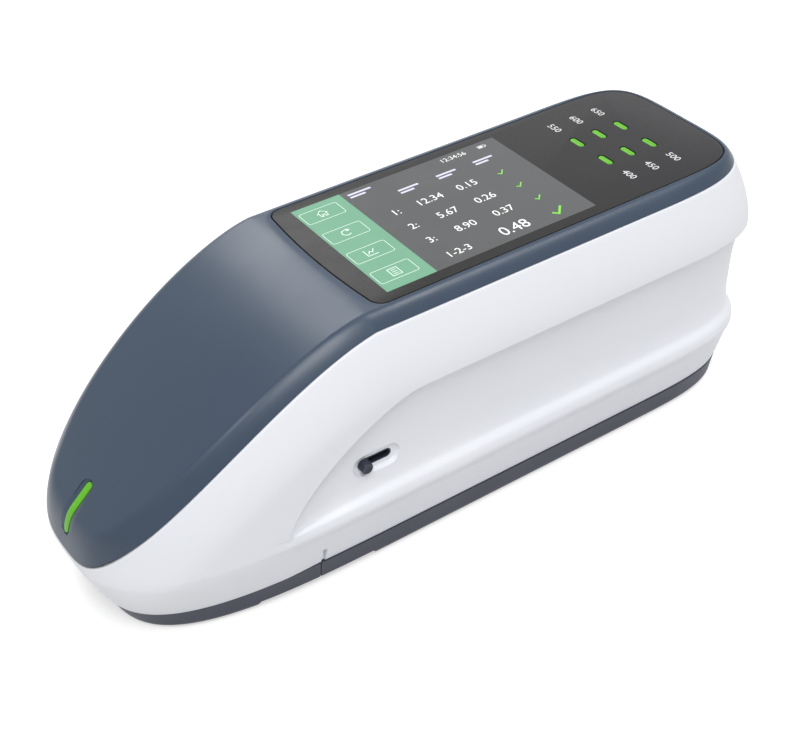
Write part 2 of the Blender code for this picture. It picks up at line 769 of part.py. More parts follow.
def boss_and_rib(index, x, y):
    """A screw boss with the rib that ties it to the shell's wall."""
    side = 1 if y > 0 else -1
    boss = rod(f"boss_{index}", (x, y, BASE_FLOOR_Z + GAP), (x, y, BOSS_TOP_Z), BOSS_RADIUS, sides=16)
    reach = flank_y(x, BOSS_RIB_LOW_Z) - SHELL_WALL / 2
    near, far = sorted((y, side * reach))
    rib_low = (x - BOSS_RIB / 2, near, BOSS_RIB_LOW_Z)
    rib = box(f"boss_rib_{index}", rib_low, (x + BOSS_RIB / 2, far, BOSS_TOP_Z))
    hole = rod(
        f"boss_hole_{index}",
        (x, y, BASE_FLOOR_Z - OVERRUN),
        (x, y, FOOT_PROUD + SCREW_HEAD + SCREW_LENGTH + GAP),
        SCREW_RADIUS + GAP,
        sides=12,
    )
    return boss, rib, hole


def selector_openings():
    """Cutters for the selector's dish and slot in the right flank."""
    centre = NOSE_X + SELECTOR_X + SELECTOR_TRAVEL / 2
    slot_length = SELECTOR_TRAVEL + 2 * SLOT_HALF_HEIGHT
    slot = stadium(slot_length, 2 * SLOT_HALF_HEIGHT)
    dish = stadium(slot_length + 2 * DISH_MARGIN, 2 * DISH_HALF_HEIGHT)
    slot, dish = moved(slot, centre, SELECTOR_Z), moved(dish, centre, SELECTOR_Z)
    return (
        prism("selector_dish", dish, -FLANK_Y - OVERRUN, -FLANK_Y + DISH_DEPTH, axis="Y"),
        prism("selector_slot", slot, -FLANK_Y - OVERRUN, -FLANK_Y + OVERRUN, axis="Y"),
    )


def rear_openings():
    """Cutters for the power slider's slot and the charging socket."""
    slot = stadium(POWER_LENGTH + POWER_TRAVEL + 2 * GAP, POWER_HEIGHT + 2 * GAP)
    port = stadium(SOCKET_WIDTH + 2 * GAP, SOCKET_HEIGHT + 2 * GAP)
    low, high = REAR_FACE_X - OVERRUN, REAR_FACE_X + OVERRUN
    middle = POWER_Y + POWER_TRAVEL / 2
    return (
        prism("power_slot", moved(slot, middle, PORTS_Z), low, high, axis="X"),
        prism("socket_opening", moved(port, SOCKET_Y, PORTS_Z), low, high, axis="X"),
    )


def key_depths():
    """Places along Y behind the measure key: the wall's inside, the switch's back stop and its board."""
    inside = KEY_FLANK_Y - SHELL_WALL - GAP * 2
    back = inside - KEY_FLANGE_THICK - KEY_TRAVEL - GAP
    return inside, back, back - KEY_SWITCH_SIZE[1] - GAP


def make_main_shell():
    """The white housing: a tube with a skirt, a bead, a hollow for the hand and a rounded upper band."""
    shell = loft("main_shell", shell_rings(), WHITE_PLASTIC, closed=True)
    for index, (x, y) in enumerate(screw_places(), 1):
        boss, rib, hole = boss_and_rib(index, x, y)
        join(shell, boss, rib)
        cut(shell, hole)
    key = moved(stadium(KEY_LENGTH + 2 * GAP, KEY_HEIGHT + 2 * GAP), NOSE_X + KEY_X, KEY_Z)
    cut(shell, *selector_openings(), *rear_openings())
    cut(shell, prism("key_opening", key, KEY_FLANK_Y - OVERRUN, KEY_FLANK_Y + OVERRUN, axis="Y"))
    post_end = key_depths()[2] + GAP
    for index, side in enumerate((-1, 1), 1):
        x = NOSE_X + KEY_X + side * KEY_POST_REACH
        root = flank_y(x, KEY_Z) - SHELL_WALL / 2
        post = rod(f"key_post_{index}", (x, post_end, KEY_Z), (x, root, KEY_Z), KEY_POST_RADIUS, sides=12)
        join(shell, post)
    notch_y = flank_y(SPLIT_X, BASE_SEAM_Z) - NOTCH_DEPTH
    for side, name in ((-1, "right"), (1, "left")):
        near, far = sorted((side * notch_y, side * (notch_y + OVERRUN)))
        middle = SPLIT_X + NOTCH_BACK
        low = (middle - NOTCH_WIDTH / 2, near, BASE_SEAM_Z - OVERRUN)
        cut(shell, box(f"notch_{name}", low, (middle + NOTCH_WIDTH / 2, far, BASE_SEAM_Z + NOTCH_RISE)))
    return shell


def rim_rings():
    """Rings of the cover's rounded rim, from its seam up to the edge of the top."""
    seam = outline(BAND_INSET + LIP, 0.0, REAR_BAND_INSET + LIP)
    rings = []
    for share in RIM_LEVEL_SHARES:
        ring = []
        for point, out in seam:
            spot = point - out * (RIM_WIDTH * share + corner_inset(out, CHIN_TOP_Z))
            front = smooth((-out.x - NOSE_RIM_SHARE) / (1 - NOSE_RIM_SHARE))
            drop = top_height(point.x) - seam_height(point.x, point.y)
            power = RIM_POWER + (NOSE_RIM_POWER - RIM_POWER) * front
            height = top_height(spot.x) - drop * (1 - share) ** power
            ring.append(Vector((spot.x, spot.y, height)))
        rings.append(ring)
    return rings


def spine_point(point, tip, tail):
    """The place on the middle line that a point of the rim is joined to."""
    return Vector((min(max(point.x, tip), tail), 0.0))


def crown_rings(edge, height):
    """Rings from the rim's upper edge in to the middle line, with a slight crown."""
    tip = NOSE_X + RIM_WIDTH * 2
    tail = REAR_X - REAR_SPAN / 2
    rings = []
    for share in CROWN_LEVEL_SHARES:
        ring = []
        for point in edge:
            flat = Vector((point.x, point.y)).lerp(spine_point(point, tip, tail), share)
            slope = min(slope_run(flat.x) / SLOPE_RUN, 1.0)
            ring.append(Vector((flat.x, flat.y, height(flat.x) + CROWN * slope * (1 - (1 - share) ** 2))))
        rings.append(ring)
    return rings


def make_cover_body():
    """The cover before it is cut: crowned top, rounded rim and an underside that follows the seam."""
    rim = rim_rings()
    seam = rim[0]
    under_edge = [Vector((p.x, p.y, under_height(p.x))) for p in rim[-1]]
    under = crown_rings(under_edge, lambda x: under_height(x))
    rings = under[::-1] + [under_edge, seam] + rim[1:] + crown_rings(rim[-1], top_height)
    shape = bmesh.new()
    made = [[shape.verts.new(point) for point in ring] for ring in rings]
    for lower, upper in zip(made, made[1:]):
        bridge(shape, lower, upper)
    ends = made[0] + made[-1]
    bmesh.ops.remove_doubles(shape, verts=ends, dist=CROWN / 100)
    bmesh.ops.dissolve_degenerate(shape, dist=CROWN / 100, edges=shape.edges)
    return finish(shape, "top_cover", SLATE_PLASTIC)


def glass_outline(margin=0.0):
    """The cover glass in plan: a bowed front edge with small corners, straight sides and a round rear."""
    half = GLASS_HALF + margin
    front = NOSE_X + GLASS_FRONT - margin
    rear = REAR_X - GLASS_REAR + margin
    corner = GLASS_CORNER + margin
    side = []
    for k in range(GLASS_STEPS + 1):
        y = (half - corner) * k / GLASS_STEPS
        side.append((front + GLASS_BOW * (y / half) ** 2, -y))
    bow_x = side[-1][0]
    for k in range(1, GLASS_STEPS + 1):
        angle = math.pi / 2 * k / GLASS_STEPS
        side.append((bow_x + corner * (1 - math.cos(angle)), -(half - corner) - corner * math.sin(angle)))
    for k in range(GLASS_STEPS + 2, -1, -1):
        angle = math.pi / 2 * k / (GLASS_STEPS + 2)
        ahead = max(math.cos(angle), 0.0) ** (2 / GLASS_POWER) if k < GLASS_STEPS + 2 else 0.0
        aside = math.sin(angle) ** (2 / GLASS_POWER)
        side.append((rear - GLASS_CORNER_SPAN * (1 - ahead), -half * aside))
    return side + [(x, -y) for x, y in reversed(side[1:-1])]


def light_places():
    """Centres of the indicator lights, three along each of two rows."""
    return [
        (NOSE_X + LIGHT_FRONT + LIGHT_PITCH * column, side * LIGHT_ROW / 2)
        for side in (-1, 1)
        for column in range(LIGHT_COLUMNS)
    ]


def light_capsule(name, x, y, low, high, margin, material=GREEN_LIGHT):
    """A light guide's capsule, longer across the body than along it."""
    slot = stadium(LIGHT_LENGTH + 2 * margin, LIGHT_WIDTH + 2 * margin, steps=5)
    shape = [(x + b, y + a) for a, b in slot]
    return prism(name, shape, low, high, material)


def nose_curve(depth=0.0):
    """Points of the nose's middle line in side view, from the light's upper end to its lower one."""
    seam_x = NOSE_X
    drop = top_height(seam_x) - seam_height(seam_x, 0.0)
    points = []
    for k in range(NOSE_LIGHT_STEPS * 4 + 1):
        along = NOSE_LIGHT_START * (1 - k / (NOSE_LIGHT_STEPS * 4)) ** 2
        share = min(along / RIM_WIDTH, 1.0)
        x = seam_x + along
        points.append(Vector((x, top_height(x) - drop * (1 - share) ** NOSE_RIM_POWER)))
    points = [point for point in points if point.y >= NOSE_LIGHT_END_Z]
    picked = [points[round(k * (len(points) - 1) / NOSE_LIGHT_STEPS)] for k in range(NOSE_LIGHT_STEPS + 1)]
    if not depth:
        return picked
    sunk = []
    for k, point in enumerate(picked):
        before, after = picked[max(k - 1, 0)], picked[min(k + 1, len(picked) - 1)]
        along = (after - before).normalized()
        sunk.append(point + Vector((-along.y, along.x)) * depth)
    return sunk


def nose_strip(name, half, above, below, ends, material=GREEN_LIGHT):
    """A strip that follows the nose's middle line, between two depths, with its ends lengthened."""
    upper, lower = nose_curve(-above), nose_curve(below)

    def stretched(line):
        first = line[0] + (line[0] - line[1]).normalized() * ends
        last = line[-1] + (line[-1] - line[-2]).normalized() * ends
        return [first, *line[1:-1], last]

    points = [tuple(point) for point in stretched(upper) + stretched(lower)[::-1]]
    return prism(name, points, -half, half, material, axis="Y")


def display_box(name, margin, low, high, material):
    """A block with the display module's outline."""
    front = NOSE_X + DISPLAY_FRONT - DISPLAY_BORDER - margin
    rear = NOSE_X + DISPLAY_FRONT + DISPLAY_LENGTH + DISPLAY_BORDER + margin
    half = DISPLAY_WIDTH / 2 + DISPLAY_BORDER + margin
    return box(name, (front, -half, low), (rear, half, high), material)


def make_top():
    """Cover, glass, display and lights."""
    cover = make_cover_body()
    high = BODY_HEIGHT + OVERRUN
    deep = BODY_HEIGHT - RIM_DROP - OVERRUN
    cut(cover, prism("glass_pocket", glass_outline(GAP), POCKET_Z, high))
    cut(cover, display_box("display_window", GAP, deep, high, DARK_PLASTIC))
    glass = prism("cover_glass", glass_outline(), GLASS_UNDER_Z, BODY_HEIGHT, GLASS)
    for index, (x, y) in enumerate(light_places(), 1):
        light_capsule(f"indicator_light_{index}", x, y, MAIN_BOARD_TOP_Z + GAP, BODY_HEIGHT, 0.0)
        cut(cover, light_capsule(f"light_hole_{index}", x, y, deep, high, GAP))
        cut(glass, light_capsule(f"glass_window_{index}", x, y, deep, high, GAP))
    display_box("display_module", 0.0, DISPLAY_UNDER_Z, DISPLAY_TOP_Z, DISPLAY)
    nose_strip("nose_light", NOSE_LIGHT_WIDTH / 2, -NOSE_LIGHT_SINK, NOSE_LIGHT_DEPTH, 0.0)
    cut(cover, nose_strip("nose_slot", NOSE_LIGHT_WIDTH / 2 + GAP, OVERRUN, NOSE_LIGHT_DEPTH + GAP, GAP))


def make_lamp_board():
    """The small board behind the nose light, parallel to the slope under the cover."""
    length, width, thick = LAMP_BOARD_SIZE
    x = NOSE_X + LAMP_BOARD_BACK
    board = box("nose_lamp_board", (-length / 2, -width / 2, -thick), (length / 2, width / 2, 0), BOARD)
    slope = math.atan(steepness(x))
    level = Matrix.Translation((x, 0, under_height(x) - 2 * GAP))
    board.data.transform(level @ Matrix.Rotation(-slope, 4, "Y"))
    return board


def tray_ring(z, extra):
    """A ring of the base tray, set in from the body's outline and drawn back under the nose."""
    tuck = BASE_TUCK * (BASE_SEAM_Z - z) / (BASE_SEAM_Z - FOOT_PROUD)
    inset = BASE_STEP + extra
    ring = outline(SKIRT_INSET + inset, CHIN_INSET + tuck + inset, REAR_TUCK + REAR_SKIRT_INSET + inset)
    return [Vector((point.x, point.y, z)) for point, _ in ring]


def tray_body(name):
    """The whole base tray: outer wall, rounded lower edge and a flat floor."""
    rings = [
        tray_ring(BASE_FLOOR_Z, BASE_WALL + BASE_DRAFT),
        tray_ring(TRAY_TOP_Z, BASE_WALL),
        tray_ring(TRAY_TOP_Z, 0.0),
    ]
    for up, inwards in FILLET_SHARES:
        rings.append(tray_ring(FOOT_PROUD + BASE_FILLET * up, BASE_DRAFT + BASE_FILLET * inwards))
    return loft(name, rings, DARK_PLASTIC, capped=True)


def relief_cutter(name):
    """The shallow relief across the underside, with sloping ends."""
    start = NOSE_X + RELIEF_FRONT
    end = start + RELIEF_LENGTH
    low, high = FOOT_PROUD - RELIEF_DEPTH, FOOT_PROUD + RELIEF_DEPTH
    points = [(start - RELIEF_RUN, low), (end + RELIEF_RUN, low), (end, high), (start, high)]
    return prism(name, points, -BODY_WIDTH, BODY_WIDTH, axis="Y")


def foot_and_screw_cutters(piece, low_x, high_x):
    """Cuts the seats of the feet and screws that lie in one piece of the base."""
    for index, (x, y) in enumerate(foot_places(), 1):
        if low_x < x < high_x:
            top = FOOT_THICK + GAP
            cut(piece, rod(f"foot_seat_{index}", (x, y, -OVERRUN), (x, y, top), FOOT_RADIUS + GAP))
    for index, (x, y) in enumerate(screw_places(), 1):
        if low_x < x < high_x:
            low, seat = (x, y, -OVERRUN), (x, y, FOOT_PROUD + SCREW_SINK + SCREW_HEAD + GAP)
            cut(
                piece,
                rod(f"screw_seat_{index}", low, seat, SCREW_HEAD_RADIUS + GAP, sides=16),
                rod(f"screw_way_{index}", low, (x, y, BASE_SEAM_Z), SCREW_RADIUS + GAP, sides=12),
            )


def make_nose_base():
    """The front piece of the base, which holds the measuring port."""
    piece = tray_body("nose_base")
    low = (SPLIT_X - GAP / 2, -BODY_WIDTH, -OVERRUN)
    cut(piece, box("nose_base_end", low, (BODY_LENGTH, BODY_WIDTH, BODY_HEIGHT)))
    cut(piece, relief_cutter("nose_relief"))
    foot_and_screw_cutters(piece, NOSE_X, SPLIT_X)
    radius = PORT_RING_RADIUS + GAP - PORT_RING_FLANGE
    cut(piece, rod("port_way", (SPHERE_X, 0, -OVERRUN), (SPHERE_X, 0, BASE_SEAM_Z), radius, sides=28))
    return piece


def lid_channel(name, margin):
    """The lid's stepped section as two blocks: its skin and the tongue that runs in the base's grooves."""
    front = REAR_X - REAR_TUCK - REAR_SKIRT_INSET - LID_LENGTH - margin
    skin_low = FOOT_PROUD - (OVERRUN if margin else 0.0)
    skin_high = FOOT_PROUD + LID_SKIN + GAP
    tongue_low = FOOT_PROUD + LID_SKIN - margin
    tongue_high = FOOT_PROUD + LID_SKIN + LID_TONGUE_THICK + margin
    half, wide = LID_HALF + margin, LID_HALF + LID_TONGUE + margin
    return (
        box(name, (front, -half, skin_low), (BODY_LENGTH, half, skin_high)),
        box(f"{name}_tongue", (front, -wide, tongue_low), (BODY_LENGTH, wide, tongue_high)),
    )


def make_base_plate():
    """The rear piece of the base, with the battery bay and the lid's channel."""
    piece = tray_body("base_plate")
    high = (SPLIT_X + GAP / 2, BODY_WIDTH, BODY_HEIGHT)
    cut(piece, box("base_plate_end", (-BODY_LENGTH, -BODY_WIDTH, -OVERRUN), high))
    cut(piece, relief_cutter("plate_relief"))
    foot_and_screw_cutters(piece, SPLIT_X, REAR_X)
    cut(piece, *lid_channel("lid_way", GAP))
    front = BATTERY_FRONT_X - GAP
    low = (front, -BATTERY_HALF - GAP, FOOT_PROUD)
    cut(piece, box("battery_way", low, (REAR_X - BATTERY_REAR + GAP, BATTERY_HALF + GAP, BODY_HEIGHT)))
    return piece


def make_battery():
    """The battery pack and the lid that slides off to the rear."""
    low_z = FOOT_PROUD + LID_SKIN + LID_TONGUE_THICK + GAP
    low = (BATTERY_FRONT_X, -BATTERY_HALF, low_z)
    high = (REAR_X - BATTERY_REAR, BATTERY_HALF, low_z + BATTERY_HEIGHT)
    box("battery_pack", low, high, BATTERY, bevel=BATTERY_CORNER)
    lid, tongue = lid_channel("battery_lid", 0.0)
    join(lid, tongue)
    combine(lid, tray_body("lid_limit"), "INTERSECT")
    rear = REAR_X - LID_RIB_BACK
    for k in range(LID_RIBS):
        x = rear - LID_RIB_PITCH * k
        low = (x - LID_RIB_WIDTH / 2, -LID_RIB_HALF, FOOT_PROUD - OVERRUN)
        cut(lid, box(f"lid_rib_{k}", low, (x + LID_RIB_WIDTH / 2, LID_RIB_HALF, FOOT_PROUD + LID_RIB_DEPTH)))
    holder = pivot("battery_lid_slide", (REAR_X - LID_LENGTH / 2, 0, FOOT_PROUD))
    hang(holder, lid)
    return lid


def make_feet_and_screws():
    """Rubber feet and case screws, each in its seat."""
    for index, (x, y) in enumerate(foot_places(), 1):
        rod(f"rubber_foot_{index}", (x, y, 0), (x, y, FOOT_THICK), FOOT_RADIUS, RUBBER)
    for index, (x, y) in enumerate(screw_places(), 1):
        under = FOOT_PROUD + SCREW_SINK
        low, head_top = (x, y, under), (x, y, under + SCREW_HEAD)
        socket_top = (x, y, under + SCREW_SOCKET_DEPTH)
        tip = (x, y, FOOT_PROUD + SCREW_LENGTH)
        screw = rod(f"case_screw_{index}", low, head_top, SCREW_HEAD_RADIUS, STEEL, sides=16)
        join(screw, rod(f"screw_shank_{index}", socket_top, tip, SCREW_RADIUS, sides=12))
        cut(screw, rod(f"screw_socket_{index}", (x, y, -OVERRUN), socket_top, SCREW_SOCKET_RADIUS, sides=6))


def sphere_arc(radius, start, end):
    """Points of an arc about the sphere's centre, between two angles from straight down."""
    angles = [start + (end - start) * k / SPHERE_STEPS for k in range(SPHERE_STEPS + 1)]
    return [(radius * math.sin(angle), -radius * math.cos(angle)) for angle in angles]


def make_port_ring():
    """The measuring port's ring, flush with the feet, with a flange that seats in the nose base."""
    neck = PORT_RING_RADIUS - PORT_RING_FLANGE
    shelf = BASE_FLOOR_Z + GAP
    profile = [
        (PORT_RADIUS, PORT_FACE_Z),
        (PORT_RADIUS, PORT_RING_TOP_Z),
        (PORT_RING_RADIUS, PORT_RING_TOP_Z + PORT_RING_FLANGE / 2),
        (PORT_RING_RADIUS, shelf),
        (neck, shelf),
        (neck, PORT_FACE_Z),
    ]
    return turned("port_ring", profile, DARK_PLASTIC, centre=(SPHERE_X, 0, 0))


def make_sphere():
    """The integrating sphere's two halves, each with a flange at the equator."""
    centre = (SPHERE_X, 0, SPHERE_Z)
    mouth = math.asin((PORT_RADIUS + GAP) / SPHERE_INNER)
    wide = SPHERE_OUTER + SPHERE_FLANGE
    outer_mouth = math.asin((PORT_RADIUS + GAP) / SPHERE_OUTER)
    joint = -SPHERE_FLANGE_THICK
    waist = math.acos(SPHERE_FLANGE_THICK / SPHERE_OUTER)
    outer = sphere_arc(SPHERE_OUTER, waist, outer_mouth)
    inner = sphere_arc(SPHERE_INNER, mouth, math.pi / 2 - GAP / SPHERE_INNER)
    lower = inner + [(wide, -GAP), (wide, joint)] + outer
    turned("sphere_lower", lower, WHITE_COATING, centre=centre)
    top = [(radius, -height) for radius, height in sphere_arc(SPHERE_INNER, 0.0, math.pi / 2)]
    crown = [(radius, -height) for radius, height in sphere_arc(SPHERE_OUTER, waist, 0.0)]
    profile = top + [(wide, 0.0), (wide, SPHERE_FLANGE_THICK)] + crown
    upper = turned("sphere_upper", profile, WHITE_COATING, centre=centre)
    tilt = math.radians(VIEW_TILT_DEGREES)
    view = Vector((math.sin(tilt), 0, math.cos(tilt)))
    middle = Vector(centre)
    reach = SPHERE_OUTER + OVERRUN
    cut(upper, rod("view_port", middle, middle + view * reach, VIEW_RADIUS, sides=16))
    cut(upper, rod("lamp_port", middle, middle + lamp_direction() * reach, LAMP_PORT_RADIUS, sides=16))


def lamp_direction():
    """The way from the sphere's centre to its lamp."""
    rise, turn = math.radians(LAMP_RISE_DEGREES), math.radians(LAMP_TURN_DEGREES)
    return Vector((math.cos(rise) * math.cos(turn), math.cos(rise) * math.sin(turn), math.sin(rise)))


def make_lamp():
    """The lamp that lights the sphere, in a finned housing against the outside of its port."""
    middle = Vector((SPHERE_X, 0, SPHERE_Z))
    way = lamp_direction()
    start = middle + way * (SPHERE_OUTER + GAP)
    core = LAMP_RADIUS * LAMP_CORE_SHARE
    profile = [(0.0, LAMP_RADIUS)]
    for share in LAMP_FIN_SHARES:
        end = share + LAMP_FIN_GAP_SHARE
        profile += [(share, LAMP_RADIUS), (share, core), (end, core), (end, LAMP_RADIUS)]
    profile.append((1.0, LAMP_RADIUS))
    turn = Vector((0, 0, 1)).rotation_difference(way).to_matrix()
    angles = [2 * math.pi * k / LAMP_SIDES for k in range(LAMP_SIDES)]
    rings = []
    for share, radius in profile:
        level = start + way * LAMP_LENGTH * share
        circle = [Vector((radius * math.cos(angle), radius * math.sin(angle), 0)) for angle in angles]
        rings.append([level + turn @ point for point in circle])
    return loft("lamp_housing", rings, ALUMINIUM, capped=True)


def rounded_plate(front, rear, half, corner):
    """A plate outline with its corners cut off."""
    return [
        (front + corner, -half),
        (rear - corner, -half),
        (rear, -half + corner),
        (rear, half - corner),
        (rear - corner, half),
        (front + corner, half),
        (front, half - corner),
        (front, -half + corner),
    ]


def make_deck():
    """The deck that carries the sphere and the spectrometer, on legs that stand in the base."""
    front = NOSE_X + DECK_FRONT
    plate = rounded_plate(front, front + DECK_LENGTH, DECK_HALF, DECK_CORNER)
    low = DECK_TOP_Z - DECK_THICK
    deck = prism("optics_deck", plate, low, DECK_TOP_Z, ALUMINIUM)
    spots = [(NOSE_X + x, side * (DECK_HALF - inset)) for x, inset in LEG_PLACES for side in (-1, 1)]
    for index, (x, y) in enumerate(spots, 1):
        foot, head = (x, y, BASE_FLOOR_Z + GAP), (x, y, DECK_TOP_Z - DECK_THICK / 2)
        join(deck, rod(f"deck_leg_{index}", foot, head, LEG_RADIUS, sides=12))
    high = DECK_TOP_Z + OVERRUN
    centre, far = (SPHERE_X, 0, low - OVERRUN), (SPHERE_X, 0, high)
    cut(deck, rod("sphere_way", centre, far, SPHERE_OUTER + GAP, sides=36))
    battery_low = (BATTERY_FRONT_X - 2 * GAP, -BATTERY_HALF - 2 * GAP, low - OVERRUN)
    cut(deck, box("battery_clearance", battery_low, (REAR_X, BATTERY_HALF + 2 * GAP, high)))
    return deck


def make_fold_mirror():
    """The block with a slanted mirror face, seated on top of the sphere."""
    seat = SPHERE_Z + SPHERE_OUTER + GAP
    back = SPHERE_X - MIRROR_BACK
    top = seat + MIRROR_RISE
    face = [(back + MIRROR_HEEL, seat), (back + MIRROR_HEEL + MIRROR_RISE, top)]
    points = [(back, seat), *face, (back + MIRROR_RISE - MIRROR_HEEL / 2, top), (back, seat + MIRROR_HEEL)]
    return prism("fold_mirror", points, -MIRROR_WIDTH / 2, MIRROR_WIDTH / 2, ALUMINIUM, axis="Y")


def make_lens_path():
    """The rail on the deck, and the lens barrel that the selector moves along it."""
    rail_x = NOSE_X + BARREL_X + (BARREL_LENGTH + SELECTOR_TRAVEL) / 2
    front, rear = rail_x - RAIL_LENGTH / 2, rail_x + RAIL_LENGTH / 2
    rail = box("lens_rail", (front, -RAIL_HALF, DECK_TOP_Z + GAP), (rear, RAIL_HALF, RAIL_TOP_Z), ALUMINIUM)
    low = (front - OVERRUN, -RAIL_HALF + RAIL_WALL, DECK_TOP_Z - OVERRUN)
    cut(rail, box("rail_hollow", low, (rear + OVERRUN, RAIL_HALF - RAIL_WALL, RAIL_TOP_Z - RAIL_WALL)))
    start = (NOSE_X + BARREL_X, 0, OPTIC_Z)
    end = (NOSE_X + BARREL_X + BARREL_LENGTH, 0, OPTIC_Z)
    barrel = rod("lens_barrel", start, end, BARREL_RADIUS, DARK_PLASTIC, sides=24)
    shoulder = (start[0] + LENS_THICK + BARREL_LIP, 0, OPTIC_Z)
    mouth = (start[0] - OVERRUN, 0, OPTIC_Z)
    cut(barrel, rod("barrel_seat", mouth, shoulder, BARREL_BORE + BARREL_LIP / 2, sides=24))
    far = (end[0] + OVERRUN, 0, OPTIC_Z)
    cut(barrel, rod("barrel_bore", start, far, BARREL_BORE - BARREL_LIP, sides=24))
    lens_start = (shoulder[0] - GAP - LENS_THICK, 0, OPTIC_Z)
    lens_end = (shoulder[0] - GAP, 0, OPTIC_Z)
    rim = BARREL_BORE - GAP
    lens = rod("focus_lens", lens_start, lens_end, BARREL_BORE, OPTIC, sides=24, end_radius=rim)
    return barrel, lens


def make_selector(barrel, lens):
    """The selector's knob and plate, and the arm from it to the lens barrel."""
    x = NOSE_X + SELECTOR_X
    skin = -FLANK_Y
    wall_inside = skin + SHELL_WALL
    plate_out = wall_inside + GAP
    plate_in = plate_out + SLIDE_PLATE_THICK
    half = SELECTOR_TRAVEL + SLOT_HALF_HEIGHT * 2
    low = (x - half, plate_out, SELECTOR_Z - SLIDE_PLATE_HALF_HEIGHT)
    plate = box("selector_knob", low, (x + half, plate_in, SELECTOR_Z + SLIDE_PLATE_HALF_HEIGHT))
    floor = skin + DISH_DEPTH
    face = skin - KNOB_PROUD + DISH_DEPTH
    root, neck = (x, plate_in - SLIDE_PLATE_THICK / 2, SELECTOR_Z), (x, floor - GAP, SELECTOR_Z)
    join(plate, rod("selector_stem", root, neck, STEM_RADIUS, sides=14))
    back, front = (x, floor - GAP * 2 / 3, SELECTOR_Z), (x, face, SELECTOR_Z)
    taper = KNOB_RADIUS * KNOB_TAPER_SHARE
    join(plate, rod("selector_cap", back, front, KNOB_RADIUS, sides=24, end_radius=taper))
    arm_low = plate_in + GAP
    near, far, top = x - ARM_WIDTH / 2, x + ARM_WIDTH / 2, OPTIC_Z + ARM_THICK / 2
    upright_low = (near, arm_low, SELECTOR_Z - SLIDE_PLATE_HALF_HEIGHT)
    arm = box("selector_arm", upright_low, (far, arm_low + ARM_THICK, top), ALUMINIUM)
    reach_low = (near, arm_low + ARM_THICK / 2, OPTIC_Z - ARM_THICK / 2)
    join(arm, box("selector_reach", reach_low, (far, -BARREL_RADIUS - GAP, top)))
    holder = pivot("selector_slide", (x, skin, SELECTOR_Z))
    hang(holder, plate, arm, barrel, lens)


def make_spectrometer():
    """The spectrometer's housing with a lid, and the grating and sensor board inside."""
    front = NOSE_X + SPECTRO_FRONT
    rear = front + SPECTRO_LENGTH
    floor = DECK_TOP_Z + GAP
    top = OPTIC_Z + SPECTRO_HEAD
    shape = rounded_plate(front, rear, SPECTRO_HALF, SPECTRO_CORNER)
    wall, corner = SPECTRO_WALL, SPECTRO_CORNER - SPECTRO_WALL / 2
    inside = rounded_plate(front + wall, rear - wall, SPECTRO_HALF - wall, corner)
    body = prism("spectrometer_body", shape, floor, top, ALUMINIUM)
    cut(body, prism("spectrometer_hollow", inside, floor + SPECTRO_WALL, top + OVERRUN))
    way_in, way_out = (front - OVERRUN, 0, OPTIC_Z), (front + OVERRUN, 0, OPTIC_Z)
    cut(body, rod("entrance", way_in, way_out, BARREL_BORE, sides=16))
    prism("spectrometer_lid", shape, top + GAP, top + GAP + SPECTRO_LID, ALUMINIUM)
    thick, wide, tall = GRATING_SIZE
    low_z = floor + SPECTRO_WALL + GAP
    grating_x = rear - GRATING_BACK
    box("grating_block", (grating_x, -wide / 2, low_z), (grating_x + thick, wide / 2, low_z + tall), OPTIC)
    length, board_thick, height = SENSOR_SIZE
    side = SPECTRO_HALF - SPECTRO_WALL - GAP
    start = front + SPECTRO_CORNER + SPECTRO_WALL
    box("sensor_board", (start, side - board_thick, low_z), (start + length, side, low_z + height), BOARD)


def make_measure_key():
    """The measure key in the left flank, with the switch board behind it."""
    x = NOSE_X + KEY_X
    face = KEY_FLANK_Y + KEY_PROUD
    inside, back, board_y = key_depths()
    shape = moved(stadium(KEY_LENGTH, KEY_HEIGHT), x, KEY_Z)
    key = prism("measure_key", shape, inside - KEY_FLANGE_THICK / 2, face, DARK_PLASTIC, axis="Y")
    flange = stadium(KEY_LENGTH + 2 * KEY_FLANGE, KEY_HEIGHT + 2 * KEY_FLANGE)
    join(key, prism("key_flange", moved(flange, x, KEY_Z), inside - KEY_FLANGE_THICK, inside, axis="Y"))
    hang(pivot("measure_key_push", (x, face, KEY_Z)), key)
    length, deep, tall = KEY_SWITCH_SIZE
    switch_low = (x - length / 2, back - deep, KEY_Z - tall / 2)
    switch = box("key_switch", switch_low, (x + length / 2, back, KEY_Z + tall / 2))
    plunger_end = (x, inside - KEY_FLANGE_THICK - GAP - KEY_TRAVEL + GAP / 2, KEY_Z)
    plunger = rod("switch_plunger", (x, back - deep / 2, KEY_Z), plunger_end, KEY_PLUNGER_RADIUS, sides=12)
    join(switch, plunger)
    long, thick, high = KEY_BOARD_SIZE
    board_low = (x - long / 2, board_y - thick, KEY_Z - high / 2)
    box("key_board", board_low, (x + long / 2, board_y, KEY_Z + high / 2), BOARD)


